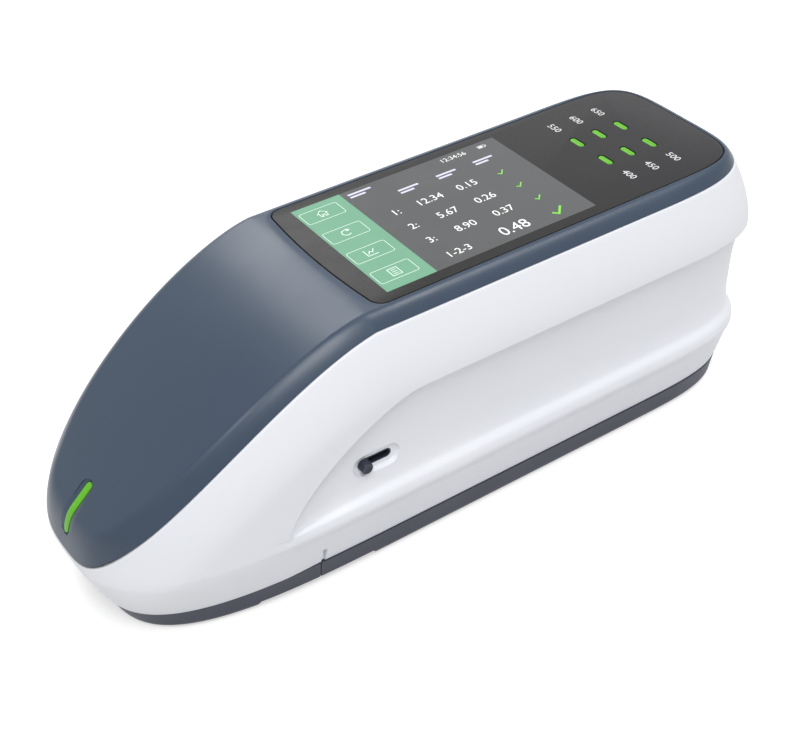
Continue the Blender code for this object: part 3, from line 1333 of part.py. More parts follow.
def make_rear_ports():
    """The power slider with its switch, the charging socket, and the board that carries them."""
    inside = REAR_FACE_X - SHELL_WALL - GAP - REAR_BOW
    outline_points = moved(stadium(POWER_LENGTH, POWER_HEIGHT), POWER_Y, PORTS_Z)
    middle_x, face = inside - POWER_FLANGE_THICK / 2, REAR_FACE_X + POWER_PROUD
    slider = prism("power_slider", outline_points, middle_x, face, axis="X")
    wide = stadium(POWER_LENGTH + POWER_TRAVEL + 2 * POWER_FLANGE, POWER_HEIGHT + 2 * POWER_FLANGE)
    wide = moved(wide, POWER_Y, PORTS_Z)
    join(slider, prism("power_flange", wide, inside - POWER_FLANGE_THICK, inside, axis="X"))
    hang(pivot("power_slide", (REAR_FACE_X, POWER_Y, PORTS_Z)), slider)
    deep, wide_y, tall = POWER_SWITCH_SIZE
    back = inside - POWER_FLANGE_THICK - GAP
    middle = POWER_Y + POWER_TRAVEL / 2
    low = (back - deep, middle - wide_y / 2, PORTS_Z - tall / 2)
    box("power_switch_body", low, (back, middle + wide_y / 2, PORTS_Z + tall / 2), STEEL)
    face = REAR_FACE_X - REAR_BOW
    socket_back = back - deep
    body = stadium(SOCKET_WIDTH, SOCKET_HEIGHT)
    hole = stadium(SOCKET_WIDTH - 2 * SOCKET_WALL, SOCKET_HEIGHT - 2 * SOCKET_WALL)
    hole = moved(hole, SOCKET_Y, PORTS_Z)
    socket = prism("charging_socket", moved(body, SOCKET_Y, PORTS_Z), socket_back, face, STEEL, axis="X")
    cut(socket, prism("socket_hole", hole, face - SOCKET_LENGTH, face + OVERRUN, axis="X"))
    tongue_half = SOCKET_WIDTH / 2 - SOCKET_HEIGHT / 2
    tongue_low = (face - SOCKET_LENGTH - SOCKET_TONGUE, SOCKET_Y - tongue_half, PORTS_Z - SOCKET_TONGUE / 2)
    tongue_high = (face - SOCKET_HEIGHT / 2, SOCKET_Y + tongue_half, PORTS_Z + SOCKET_TONGUE / 2)
    join(socket, box("socket_tongue", tongue_low, tongue_high))
    thick, span, height = REAR_BOARD_SIZE
    board_x = socket_back - GAP
    board_low = (board_x - thick, -span / 2, PORTS_Z - height / 2)
    box("rear_board", board_low, (board_x, span / 2, PORTS_Z + height / 2), BOARD)


def make_boards():
    """The main board under the display, with the sounder below it."""
    front = NOSE_X + MAIN_BOARD_FRONT
    rear = front + MAIN_BOARD_LENGTH
    low_z = MAIN_BOARD_TOP_Z - MAIN_BOARD_THICK
    low, high = (front, -MAIN_BOARD_HALF, low_z), (rear, MAIN_BOARD_HALF, MAIN_BOARD_TOP_Z)
    box("main_board", low, high, BOARD, bevel=MAIN_BOARD_CORNER)
    x = rear - SOUNDER_BACK
    rod("sounder", (x, 0, low_z - GAP), (x, 0, low_z - GAP - SOUNDER_HEIGHT), SOUNDER_RADIUS)


def main():
    """Builds every piece of the instrument."""
    make_main_shell()
    make_top()
    make_lamp_board()
    make_nose_base()
    make_base_plate()
    make_battery()
    make_feet_and_screws()
    make_port_ring()
    make_sphere()
    make_lamp()
    make_deck()
    make_fold_mirror()
    barrel, lens = make_lens_path()
    make_selector(barrel, lens)
    make_spectrometer()
    make_measure_key()
    make_rear_ports()
    make_boards()


main()
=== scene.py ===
"""Looks of a portable sphere spectrophotometer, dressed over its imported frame.

Metres, +Z up. The measuring nose points to -X and the flank with the aperture selector faces -Y. The
shaped pieces repeat the frame's formulas on a finer grid, so they sit exactly where its nodes are.
"""

import json
import logging
import math
from dataclasses import dataclass, field
from enum import Enum
from functools import cached_property
from typing import Any, Callable, Mapping, Sequence, Union

import bmesh
import bpy
import numpy as np
from mathutils import Matrix, Vector

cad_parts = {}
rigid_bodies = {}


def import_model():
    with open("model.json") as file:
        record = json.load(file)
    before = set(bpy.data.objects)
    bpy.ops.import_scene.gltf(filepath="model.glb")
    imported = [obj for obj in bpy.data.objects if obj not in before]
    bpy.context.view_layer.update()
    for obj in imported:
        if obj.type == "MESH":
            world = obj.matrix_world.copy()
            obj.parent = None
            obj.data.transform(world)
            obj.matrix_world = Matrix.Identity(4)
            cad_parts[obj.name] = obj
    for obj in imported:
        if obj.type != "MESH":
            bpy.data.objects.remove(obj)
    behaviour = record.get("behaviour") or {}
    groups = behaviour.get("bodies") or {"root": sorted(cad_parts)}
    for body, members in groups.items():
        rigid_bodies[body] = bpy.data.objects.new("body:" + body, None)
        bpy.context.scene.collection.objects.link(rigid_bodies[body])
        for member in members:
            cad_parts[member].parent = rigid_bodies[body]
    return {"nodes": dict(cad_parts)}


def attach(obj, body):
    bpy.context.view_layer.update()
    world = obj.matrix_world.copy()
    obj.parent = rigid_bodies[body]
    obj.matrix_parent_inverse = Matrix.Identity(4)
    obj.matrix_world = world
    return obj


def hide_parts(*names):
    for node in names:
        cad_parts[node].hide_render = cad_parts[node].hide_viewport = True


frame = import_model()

LOG = logging.getLogger("spectrophotometer")
GAP = 0.0003  # free space round a piece
OVERRUN = 0.0040  # how far a cutting block reaches past what it cuts
FINE = 0.00001  # a length that is too short to see
CRISP = 32.0  # the angle in degrees over which an edge stays sharp
WHITE = (1.0, 1.0, 1.0)

Colour = tuple[float, float, float]
Pair = tuple[float, float]
Reading = Union["Wire", float, Sequence[float]]
Numbers = Union[float, np.ndarray]
Piece = bpy.types.Object
Paint = bpy.types.Material


class Body(Enum):
    """The frame's bodies that a piece can ride on."""

    HOUSING = "housing"
    SELECTOR = "selector"
    MEASURE_KEY = "measure_key"
    POWER_SLIDER = "power_slider"
    BATTERY_LID = "battery_lid"


class Slot(Enum):
    """The record's material slots, one passed along with each new piece."""

    SHELL = "main_shell"
    COVER = "top_cover"
    GLASS = "cover_glass"
    DISPLAY = "display_module"
    BASE = "base"
    LIGHT = "green_light"
    RUBBER = "rubber"
    STEEL = "steel"
    DARK = "dark_plastic"


class Across(Enum):
    """How a flat outline stands: which of its two coordinates and its level become x, y and z."""

    X = (2, 0, 1)
    Y = (0, 2, 1)
    Z = (0, 1, 2)
    Z_TURNED = (1, 0, 2)


class Cut(Enum):
    """What a Boolean does with the pieces that it is given."""

    AWAY = "DIFFERENCE"
    JOIN = "UNION"
    LIMIT = "INTERSECT"


# --- Nodes --------------------------------------------------------------------------------------


def operator(operation: str, swapped: bool = False) -> Callable[["Wire", Reading], "Wire"]:
    """Makes the method behind one of a wire's operators.

    Args:
        operation: The Math node's operation.
        swapped: Whether the other reading stands on the left.

    Returns:
        The method.
    """

    def method(wire: "Wire", other: Reading) -> "Wire":
        """Adds a Math node on this wire and another reading, in the order in which they are written."""
        first, second = (other, wire) if swapped else (wire, other)
        return wire.graph.node("ShaderNodeMath", {"operation": operation}, {0: first, 1: second})

    return method


class Wire:
    """A node's output, on which sums are written as Python expressions."""

    def __init__(self, graph: "Graph", socket: bpy.types.NodeSocket) -> None:
        """Keeps the output and the graph that it belongs to."""
        self.graph, self.socket = graph, socket

    __add__, __radd__ = operator("ADD"), operator("ADD", True)
    __sub__, __rsub__ = operator("SUBTRACT"), operator("SUBTRACT", True)
    __mul__, __rmul__ = operator("MULTIPLY"), operator("MULTIPLY", True)
    __truediv__, __rtruediv__ = operator("DIVIDE"), operator("DIVIDE", True)
    larger = operator("MAXIMUM")

    def ramp(self, low: float, high: float) -> "Wire":
        """Stretches the span from low to high to run from 0 to 1, and holds it there."""
        ends = {0: self, 1: low, 2: high, 3: 0.0, 4: 1.0}
        return self.graph.node("ShaderNodeMapRange", {"clamp": True}, ends)


class Graph:
    """The nodes of a material, of the world or of a modifier."""

    def __init__(self, tree: bpy.types.NodeTree) -> None:
        """Keeps the tree."""
        self.tree = tree

    def node(
        self, kind: str, settings: Mapping[str, Any], inputs: Mapping[Any, Reading], output: Any = 0
    ) -> Wire:
        """Adds a node of any type.

        Args:
            kind: The node's type name.
            settings: What is set on the node itself, such as its operation.
            inputs: Values or wires for its input sockets, by name or index.
            output: The output that is wanted, by name or index.

        Returns:
            The wanted output.
        """
        made = self.tree.nodes.new(kind)
        for name, value in settings.items():
            setattr(made, name, value)
        for name, value in inputs.items():
            self.feed(made.inputs[name], value)
        return Wire(self, made.outputs[output] if made.outputs else None)

    def feed(self, socket: bpy.types.NodeSocket, value: Reading) -> None:
        """Sets or links one input socket.

        Args:
            socket: The input socket.
            value: A wire, a number, or a tuple for a colour or vector.
        """
        if isinstance(value, Wire):
            self.tree.links.new(value.socket, socket)
        elif socket.type == "RGBA":
            socket.default_value = (*value[:3], 1.0)
        else:
            socket.default_value = value

    def white_rays(self) -> Wire:
        """One for camera, mirror and glass rays, else nought.

        Returns:
            A wire of nought or one.
        """
        camera, *others = (
            self.node("ShaderNodeLightPath", {}, {}, f"Is {kind} Ray")
            for kind in ("Camera", "Glossy", "Transmission")
        )
        return camera.larger(others[0]).larger(others[1])


class SurfaceGraph(Graph):
    """A material's nodes, round one Principled shader."""

    def __init__(self, name: str) -> None:
        """Starts a material.

        Args:
            name: The material's name.
        """
        self.material = bpy.data.materials.new(name)
        self.material.use_nodes = True
        super().__init__(self.material.node_tree)
        self.shader = self.tree.nodes["Principled BSDF"]

    def set(self, **values: Reading) -> None:
        """Feeds the Principled shader's sockets, named with underscores for spaces."""
        for name, value in values.items():
            self.feed(self.shader.inputs[name.replace("_", " ")], value)

    @cached_property
    def place(self) -> Wire:
        """Object coordinates, in metres."""
        return self.node("ShaderNodeTexCoord", {}, {}, "Object")

    def axis(self, name: str) -> Wire:
        """One of the object coordinates, by its letter."""
        return self.node("ShaderNodeSeparateXYZ", {}, {0: self.place}, name)

    def noise(self, size: float, detail: float = 2.0, stretch: Sequence[float] = (1, 1, 1)) -> Wire:
        """Noise from 0 to 1.

        Args:
            size: Size of its features in metres.
            detail: Number of finer layers.
            stretch: How much finer it runs along each axis.

        Returns:
            The noise's value.
        """
        scale = tuple(share / size for share in stretch)
        scaled = self.node("ShaderNodeMapping", {}, {"Vector": self.place, "Scale": scale})
        return self.node("ShaderNodeTexNoise", {}, {"Vector": scaled, "Scale": 1.0, "Detail": detail}, "Fac")

    def cells(self, size: float, **settings: str) -> Wire:
        """Distance from the middle of cells of the given size in metres."""
        inputs = {"Vector": self.place, "Scale": 1 / size}
        return self.node("ShaderNodeTexVoronoi", settings, inputs, "Distance")

    def stripes(self, scale: float, axis: str = "X") -> Wire:
        """Stripes across an axis."""
        inputs = {"Vector": self.place, "Scale": scale}
        return self.node("ShaderNodeTexWave", {"bands_direction": axis}, inputs, "Fac")

    def mix(self, share: Reading, first: Reading, second: Reading) -> Wire:
        """Mixes two colours by the share of the second."""
        return self.node("ShaderNodeMix", {"data_type": "RGBA"}, {0: share, 6: first, 7: second}, 2)

    def bump(self, height: Reading, depth: float, strength: float) -> Wire:
        """A normal bumped by a height field from 0 to 1, whose depth is in metres."""
        inputs = {"Height": height, "Distance": depth, "Strength": strength}
        return self.node("ShaderNodeBump", {}, inputs, "Normal")


# --- Finishes -----------------------------------------------------------------------------------


def linear(red: float, green: float, blue: float) -> Colour:
    """Turns a display colour from 0 to 255 into linear light.

    Args:
        red: The red channel.
        green: The green channel.
        blue: The blue channel.

    Returns:
        The three channels in linear light.
    """
    shares = (red / 255, green / 255, blue / 255)
    return tuple(s / 12.92 if s <= 0.04045 else ((s + 0.055) / 1.055) ** 2.4 for s in shares)


@dataclass(frozen=True)
class Finish:
    """What every finish has: its material's name and main tone."""

    name: str
    colour: Colour

    def paint(self, graph: SurfaceGraph) -> None:
        """Feeds the shader's sockets, each kind of finish in its own way."""
        raise NotImplementedError

    def material(self) -> Paint:
        """Makes the material.

        Returns:
            The material.
        """
        graph = SurfaceGraph(self.name)
        self.paint(graph)
        return graph.material


@dataclass(frozen=True)
class MouldedPlastic(Finish):
    """Injection moulded plastic with a spark-eroded grain, faint flow marks and handling sheen."""

    shade: Colour
    roughness: float = 0.42
    flow: float = 0.055
    fleck: float = 0.0011
    handling: float = 0.021
    grain: float = 0.00028
    depth: float = 0.000010
    mottle: float = 0.45
    shine: float = 0.5

    def paint(self, graph: SurfaceGraph) -> None:
        """Feeds the shader's sockets.

        Args:
            graph: The material's nodes.
        """
        flow = graph.noise(self.flow, 3.0, (0.6, 1, 1)).ramp(0.35, 0.7)
        fleck = graph.noise(self.fleck, 1.0).ramp(0.62, 0.74)
        handled = graph.noise(self.handling, 4.0).ramp(0.30, 0.75)
        grain = graph.cells(self.grain, feature="SMOOTH_F1") * 0.6 + graph.noise(self.grain * 0.6, 1.0) * 0.4
        graph.set(
            Base_Color=graph.mix(flow * self.mottle + fleck * 0.05, self.colour, self.shade),
            Roughness=handled * 0.10 + (self.roughness - 0.05),
            Normal=graph.bump(grain, self.depth, 0.6),
            Specular_IOR_Level=self.shine,
        )


@dataclass(frozen=True)
class PrintedGlass(Finish):
    """Cover glass printed on its back, with a painted reflection gradient from front to rear and finger
    smudges.
    """

    # Tone at the rear end of the painted reflection gradient.
    rear: Colour
    front_x: float = -0.03
    rear_x: float = 0.105
    roughness: float = 0.27

    def paint(self, graph: SurfaceGraph) -> None:
        """Feeds the shader's sockets.

        Args:
            graph: The material's nodes.
        """
        # The ramp along X is a painted reflection gradient between the front and rear tones; the cloud is
        # random tone.
        along, cloud = graph.axis("X").ramp(self.front_x, self.rear_x), graph.noise(0.030) * 0.10 - 0.05
        smudge = graph.noise(0.012, 5.0, (1, 1.7, 1)).ramp(0.45, 0.80)
        lint = graph.noise(0.0004, 0.0).ramp(0.74, 0.80)
        graph.set(
            Base_Color=graph.mix(along + cloud, self.colour, self.rear),
            Roughness=smudge * 0.10 + lint * 0.2 + self.roughness,
            Normal=graph.bump(graph.noise(0.018, 1.0), 0.00002, 0.25),
            Specular_IOR_Level=0.12,
        )


@dataclass(frozen=True)
class ScreenTone(Finish):
    """One tone of the lit screen, with its rows of dots and an uneven backlight."""

    lift: Colour
    glow: float = 0.0
    dot: float = 0.000153

    def paint(self, graph: SurfaceGraph) -> None:
        """Feeds the shader's sockets.

        Args:
            graph: The material's nodes.
        """
        rows = graph.stripes(1 / self.dot / 20, "Y")
        backlight = graph.axis("X").ramp(-0.024, 0.052) * 0.7 + graph.noise(0.05) * 0.3
        tone = graph.mix(backlight, self.colour, self.lift)
        graph.set(
            Base_Color=graph.mix(rows * 0.04, tone, (0.0, 0.0, 0.0)),
            Roughness=graph.noise(0.012, 4.0).ramp(0.4, 0.85) * 0.12 + 0.2,
            Specular_IOR_Level=0.4,
        )
        if self.glow:
            graph.set(Emission_Color=tone, Emission_Strength=self.glow)


@dataclass(frozen=True)
class LightGuide(Finish):
    """A green light guide that is lit from below, with a hot core and a frosted skin."""

    core: Colour
    glow: float = 0.06

    def paint(self, graph: SurfaceGraph) -> None:
        """Feeds the shader's sockets.

        Args:
            graph: The material's nodes.
        """
        frost = graph.noise(0.0007, 3.0)
        tone = graph.mix(frost.ramp(0.30, 0.75), self.colour, self.core)
        graph.set(
            Base_Color=tone, Emission_Color=tone, Emission_Strength=self.glow,
            Roughness=frost * 0.15 + 0.3, Specular_IOR_Level=0.35,
            Normal=graph.bump(graph.cells(0.0003), 0.000006, 0.5),
        )


@dataclass(frozen=True)
class WorkedMetal(Finish):
    """Metal with fine tool marks along one axis, small stains and nicks."""

    roughness: float
    dull: float = 0.8

    def paint(self, graph: SurfaceGraph) -> None:
        """Feeds the shader's sockets.

        Args:
            graph: The material's nodes.
        """
        marks = graph.noise(0.00022, 2.0, (0.06, 1, 1))
        stain = graph.noise(0.011, 4.0).ramp(0.40, 0.75)
        dull = tuple(channel * self.dull for channel in self.colour)
        graph.set(
            Base_Color=graph.mix(stain * 0.5 + marks * 0.2, self.colour, dull), Metallic=1.0,
            Roughness=marks * 0.18 + stain * 0.08 + (self.roughness - 0.1),
            Normal=graph.bump(marks, 0.000006, 0.5),
        )


@dataclass(frozen=True)
class SoftRubber(Finish):
    """Moulded rubber with a dry bloom and a fine pebble."""

    bloom: Colour

    def paint(self, graph: SurfaceGraph) -> None:
        """Feeds the shader's sockets.

        Args:
            graph: The material's nodes.
        """
        dry = graph.noise(0.0025, 4.0).ramp(0.45, 0.75)
        graph.set(
            Base_Color=graph.mix(dry * 0.6, self.colour, self.bloom), Roughness=dry * 0.15 + 0.68,
            Normal=graph.bump(graph.cells(0.00035), 0.00002, 0.6),
        )


@dataclass(frozen=True)
class CircuitBoard(Finish):
    """Solder mask over copper tracks, with tinned pads and small dark parts."""

    track: Colour
    pad: Colour
    part: Colour = (0.012, 0.012, 0.014)

    def paint(self, graph: SurfaceGraph) -> None:
        """Feeds the shader's sockets.

        Args:
            graph: The material's nodes.
        """
        tracks = graph.cells(1 / 420, distance="MANHATTAN").ramp(0.55, 0.62)
        pads = graph.cells(0.0021).ramp(0.20, 0.17)
        dark = graph.cells(1 / 210, distance="CHEBYCHEV").ramp(0.24, 0.22)
        tinned = graph.mix(pads, graph.mix(tracks, self.colour, self.track), self.pad)
        graph.set(
            Base_Color=graph.mix(dark, tinned, self.part), Metallic=pads * (1 - dark) * 0.9,
            Roughness=0.45 - pads * 0.15 + dark * 0.2, Normal=graph.bump(tracks + dark * 2, 0.00006, 0.5),
        )


@dataclass(frozen=True)
class SinteredCoating(Finish):
    """The sphere's matt white lining, with a powdery grain."""

    warmth: Colour = (1.0, 0.985, 0.95)

    def paint(self, graph: SurfaceGraph) -> None:
        """Feeds the shader's sockets.

        Args:
            graph: The material's nodes.
        """
        powder = graph.noise(0.0005, 4.0)
        warm = tuple(channel * share for channel, share in zip(self.colour, self.warmth))
        graph.set(
            Base_Color=graph.mix(powder.ramp(0.35, 0.8), self.colour, warm), Roughness=powder * 0.1 + 0.88,
            Normal=graph.bump(powder, 0.00003, 0.5), Specular_IOR_Level=0.2,
        )


@dataclass(frozen=True)
class CoatedOptic(Finish):
    """Ground and coated optical glass: faint blue film, bright polished face, fine ruling."""

    film: Colour

    def paint(self, graph: SurfaceGraph) -> None:
        """Feeds the shader's sockets.

        Args:
            graph: The material's nodes.
        """
        film = graph.noise(0.006, 1.0, (1, 1.6, 1)).ramp(0.3, 0.7)
        graph.set(
            Base_Color=graph.mix(film, self.colour, self.film), Roughness=graph.stripes(900.0) * 0.06 + 0.04,
            Metallic=film * 0.3 + 0.1, Coat_Weight=0.6, Coat_Roughness=0.02,
        )


@dataclass(frozen=True)
class ShrinkWrap(Finish):
    """Battery film: glossy, with stretched wrinkles and a paler printed-over seam band."""

    band: Colour

    def paint(self, graph: SurfaceGraph) -> None:
        """Feeds the shader's sockets.

        Args:
            graph: The material's nodes.
        """
        wrinkle = graph.noise(0.004, 4.0, (0.5, 2, 2))
        stripe = graph.axis("X").ramp(0.083, 0.084) * graph.axis("X").ramp(0.092, 0.091)
        graph.set(
            Base_Color=graph.mix(stripe * 0.8 + wrinkle * 0.1, self.colour, self.band),
            Roughness=wrinkle * 0.2 + 0.2, Normal=graph.bump(wrinkle, 0.00012, 0.5),
        )


def finishes() -> dict[str, Paint]:
    """Makes every material of the object, by the name of what it is used on.

    Returns:
        The materials.
    """
    made = {
        "shell": MouldedPlastic("white_shell", linear(232, 234, 239), linear(226, 229, 237)),
        "slate": MouldedPlastic(
            "slate_cover", linear(51, 66, 84), linear(47, 61, 80), 0.33, depth=0.000006, shine=0.4
        ),
        "base": MouldedPlastic("dark_base", linear(56, 60, 75), linear(50, 54, 69), 0.46, shine=0.35),
        "dark": MouldedPlastic("dark_control", linear(38, 42, 56), linear(32, 36, 48), 0.44, shine=0.35),
        # The glass's front and rear tones are the two ends of its painted reflection gradient.
        "glass": PrintedGlass("printed_glass", linear(50, 50, 50), linear(52, 52, 54)),
        "screen": ScreenTone("screen_grey", linear(78, 79, 80), linear(84, 86, 87), 0.03),
        "band": ScreenTone("screen_green", linear(106, 160, 130), linear(116, 170, 140), 0.05),
        "sign": ScreenTone("screen_sign", linear(226, 242, 232), linear(232, 246, 238), 0.10),
        "white": ScreenTone("screen_white", linear(236, 238, 238), linear(240, 242, 242), 0.12),
        "heading": ScreenTone("screen_heading", linear(206, 205, 228), linear(212, 212, 232), 0.10),
        "tick": ScreenTone("screen_tick", linear(118, 200, 62), linear(126, 210, 70), 0.10),
        "print": ScreenTone("label_print", linear(222, 222, 224), linear(228, 228, 230)),
        "green": LightGuide("green_guide", linear(84, 162, 26), linear(96, 176, 34)),
        "rubber": SoftRubber("foot_rubber", linear(40, 41, 44), linear(66, 67, 70)),
        "steel": WorkedMetal("plated_steel", linear(176, 176, 180), 0.28),
        "aluminium": WorkedMetal("milled_aluminium", linear(186, 189, 193), 0.36),
        "board": CircuitBoard(
            "circuit_board", linear(18, 78, 42), linear(38, 112, 60), linear(196, 190, 170)
        ),
        "coating": SinteredCoating("sphere_lining", (0.90, 0.90, 0.89)),
        "optic": CoatedOptic("coated_optic", linear(176, 196, 200), linear(120, 150, 190)),
        "battery": ShrinkWrap("battery_film", linear(52, 74, 128), linear(92, 112, 160)),
    }
    return {name: finish.material() for name, finish in made.items()}


# --- Mesh making --------------------------------------------------------------------------------


def smooth(share: Numbers) -> Numbers:
    """A share between 0 and 1 with soft ends."""
    share = np.clip(share, 0.0, 1.0)
    return share * share * (3 - 2 * share)


def linked(name: str, data: Any) -> Piece:
    """A new object in the scene, round the given data.

    Args:
        name: The object's name.
        data: Its mesh, curve, lamp or camera.

    Returns:
        The object.
    """
    made = bpy.data.objects.new(name, data)
    bpy.context.scene.collection.objects.link(made)
    return made


def drop(*pieces: Piece) -> None:
    """Removes pieces that were only used to make others."""
    for piece in pieces:
        bpy.data.objects.remove(piece, do_unlink=True)


def shade(mesh: bpy.types.Mesh, crisp: float) -> None:
    """Shades a mesh smooth up to an angle in degrees."""
    mesh.shade_smooth()
    mesh.set_sharp_from_angle(angle=math.radians(crisp))


def settle_normals(shape: bmesh.types.BMesh) -> None:
    """Turns every face of a closed shape outwards.

    Args:
        shape: The shape.
    """
    bmesh.ops.recalc_face_normals(shape, faces=shape.faces)
    if shape.calc_volume(signed=True) < 0:
        bmesh.ops.reverse_faces(shape, faces=shape.faces)


def piece_from(shape: bmesh.types.BMesh, name: str, crisp: float = CRISP) -> Piece:
    """Turns a shape into an object that is shaded smooth up to an angle.

    Args:
        shape: The shape, which is freed.
        name: The object's name.
        crisp: The angle in degrees over which an edge stays sharp.

    Returns:
        The object.
    """
    mesh = bpy.data.meshes.new(name)
    shape.to_mesh(mesh)
    shape.free()
    shade(mesh, crisp)
    return linked(name, mesh)


def loft(name: str, rings: Sequence[np.ndarray], closed: bool = False, crisp: float = CRISP) -> Piece:
    """A skin through rings of points, with its faces outwards.

    Args:
        name: The object's name.
        rings: Rings with as many points each, as arrays of x, y and z.
        closed: Whether the last ring joins the first. Otherwise each end gets a flat face.
        crisp: The angle in degrees over which an edge stays sharp.

    Returns:
        The object.
    """
    shape = bmesh.new()
    made = [[shape.verts.new(point) for point in ring] for ring in rings]
    for lower, upper in list(zip(made, made[1:])) + ([(made[-1], made[0])] if closed else []):
        for k in range(len(lower)):
            following = (k + 1) % len(lower)
            shape.faces.new((lower[k], lower[following], upper[following], upper[k]))
    if not closed:
        shape.faces.new(made[0])
        shape.faces.new(made[-1])
    settle_normals(shape)
    return piece_from(shape, name, crisp)


def weld(piece: Piece, distance: float = FINE / 5) -> Piece:
    """Merges the points of a piece that coincide, and turns its faces outwards.

    Args:
        piece: The piece.
        distance: How near two points are to count as one.

    Returns:
        The same piece.
    """
    shape = bmesh.new()
    shape.from_mesh(piece.data)
    bmesh.ops.remove_doubles(shape, verts=shape.verts, dist=distance)
    bmesh.ops.dissolve_degenerate(shape, dist=distance, edges=shape.edges)
    settle_normals(shape)
    shape.to_mesh(piece.data)
    shape.free()
    return piece


def raised(points: np.ndarray, height: Numbers) -> np.ndarray:
    """Points in plan, put at one height or at a height each."""
    return np.column_stack([points, np.zeros(len(points)) + height])


def disc(radius: float, sides: int) -> np.ndarray:
    """Outline of a circle about its middle."""
    angle = np.arange(sides) * 2 * math.pi / sides
    return radius * np.column_stack([np.cos(angle), np.sin(angle)])


def stadium(length: float, height: float, steps: int) -> np.ndarray:
    """Outline of a slot with round ends about its middle.

    Args:
        length: Its whole length.
        height: Its height.
        steps: Number of steps round each end.

    Returns:
        The points.
    """
    radius, angle = height / 2, np.linspace(-math.pi / 2, math.pi / 2, steps + 1)
    right = np.column_stack([length / 2 - radius + radius * np.cos(angle), radius * np.sin(angle)])
    return np.vstack([right, -right])


def stood(outline: np.ndarray, level: float, across: Across, place: Pair = (0.0, 0.0)) -> np.ndarray:
    """Stands a flat outline across an axis.

    Args:
        outline: Points in the plane.
        level: Place along the axis.
        across: How the outline stands.
        place: Shift of the outline in its plane.

    Returns:
        The ring of points.
    """
    order = list(across.value)
    return raised(outline, level)[:, order] + np.insert(np.array(place, float), order.index(2), 0.0)


def turned(
    name: str, profile: Sequence[Pair], sides: int, centre: Pair = (0.0, 0.0), across: Across = Across.Z
) -> Piece:
    """A profile turned about an axis.

    Args:
        name: The object's name.
        profile: Points of radius and level. A radius of nought at both ends closes the form.
        sides: Number of points round.
        centre: Place of the axis.
        across: Which way the axis runs.

    Returns:
        The object.
    """
    rings = [stood(disc(max(radius, FINE / 10), sides), level, across, centre) for radius, level in profile]
    return weld(loft(name, rings, closed=profile[0][0] > 0), FINE / 2)


def prism(name: str, outline: Sequence[Pair], low: float, high: float, across: Across = Across.Z) -> Piece:
    """A flat outline drawn out between two levels."""
    return loft(name, [stood(np.array(outline, float), level, across) for level in (low, high)])


def slot_block(
    name: str, size: Pair, levels: Sequence[Pair], across: Across, place: Pair = (0.0, 0.0),
    start: float = 0.0, steps: int = 14, closed: bool = False,
) -> Piece:
    """A block with a slot's outline whose margin changes along its axis.

    Args:
        name: The object's name.
        size: Length and height of the slot.
        levels: Pairs of place along the axis and margin there.
        across: How the outline stands.
        place: The slot's middle in its plane.
        start: What the places along the axis are measured from.
        steps: Number of steps round each end.
        closed: Whether its last level joins the first, as on a ring.

    Returns:
        The object.
    """
    rings = [
        stood(stadium(size[0] + 2 * margin, size[1] + 2 * margin, steps), start + level, across, place)
        for level, margin in levels
    ]
    return loft(name, rings, closed)


def block(name: str, low: Sequence[float], high: Sequence[float], edge: float = 0.0) -> Piece:
    """A block between two corners, with its edges rounded.

    Args:
        name: The object's name.
        low: Its lowest corner.
        high: Its highest corner.
        edge: Radius of its edges.

    Returns:
        The object.
    """
    shape = bmesh.new()
    bmesh.ops.create_cube(shape, size=1)
    bmesh.ops.scale(shape, vec=Vector(high) - Vector(low), verts=shape.verts)
    bmesh.ops.translate(shape, vec=(Vector(low) + Vector(high)) / 2, verts=shape.verts)
    if edge:
        bmesh.ops.bevel(shape, geom=shape.edges, offset=edge, segments=3, affect="EDGES", profile=0.5)
    return piece_from(shape, name)


def joined(name: str, pieces: Sequence[Piece]) -> Piece:
    """Puts several pieces into one object and removes them.

    Args:
        name: The object's name.
        pieces: The pieces.

    Returns:
        The object.
    """
    shape = bmesh.new()
    for each in pieces:
        shape.from_mesh(each.data)
    drop(*pieces)
    return piece_from(shape, name)


def evaluated(piece: Piece, crisp: float = CRISP) -> Piece:
    """Turns a piece's modifiers into a plain mesh.

    Args:
        piece: The piece.
        crisp: The angle in degrees over which an edge stays sharp.

    Returns:
        The same piece.
    """
    piece.data = bpy.data.meshes.new_from_object(piece.evaluated_get(bpy.context.evaluated_depsgraph_get()))
    piece.modifiers.clear()
    shade(piece.data, crisp)
    return piece


def carve(piece: Piece, *cutters: Piece, cut: Cut = Cut.AWAY, crisp: float = CRISP) -> Piece:
    """Cuts, joins or limits a piece by others, which are removed.

    Args:
        piece: The piece.
        cutters: The other objects.
        cut: What is done with them.
        crisp: The angle in degrees over which an edge stays sharp.

    Returns:
        The same piece.
    """
    for cutter in cutters:
        modifier = piece.modifiers.new(cutter.name, "BOOLEAN")
        modifier.operation, modifier.solver, modifier.object = cut.value, "EXACT", cutter
    evaluated(piece, crisp)
    drop(*cutters)
    return piece


def place_piece(
    piece: Piece, slot: Slot, finish: Union[Paint, None], *nodes: str, body: Body = Body.HOUSING
) -> None:
    """Dresses a finished piece and hands it to the frame.

    Args:
        piece: The piece, with its place in its mesh.
        slot: The record's slot that its finish comes from. Not used.
        finish: The finish, or None where the piece has its material already.
        nodes: The CAD nodes that it stands for.
        body: The body that it rides on.
    """
    if finish is not None:
        piece.data.materials.clear()
        piece.data.materials.append(finish)
    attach(piece, body.value)
    if nodes:
        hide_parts(*nodes)
    LOG.info("%s: %d faces on %s", piece.name, len(piece.data.polygons), body.value)


# --- Geometry Nodes -----------------------------------------------------------------------------


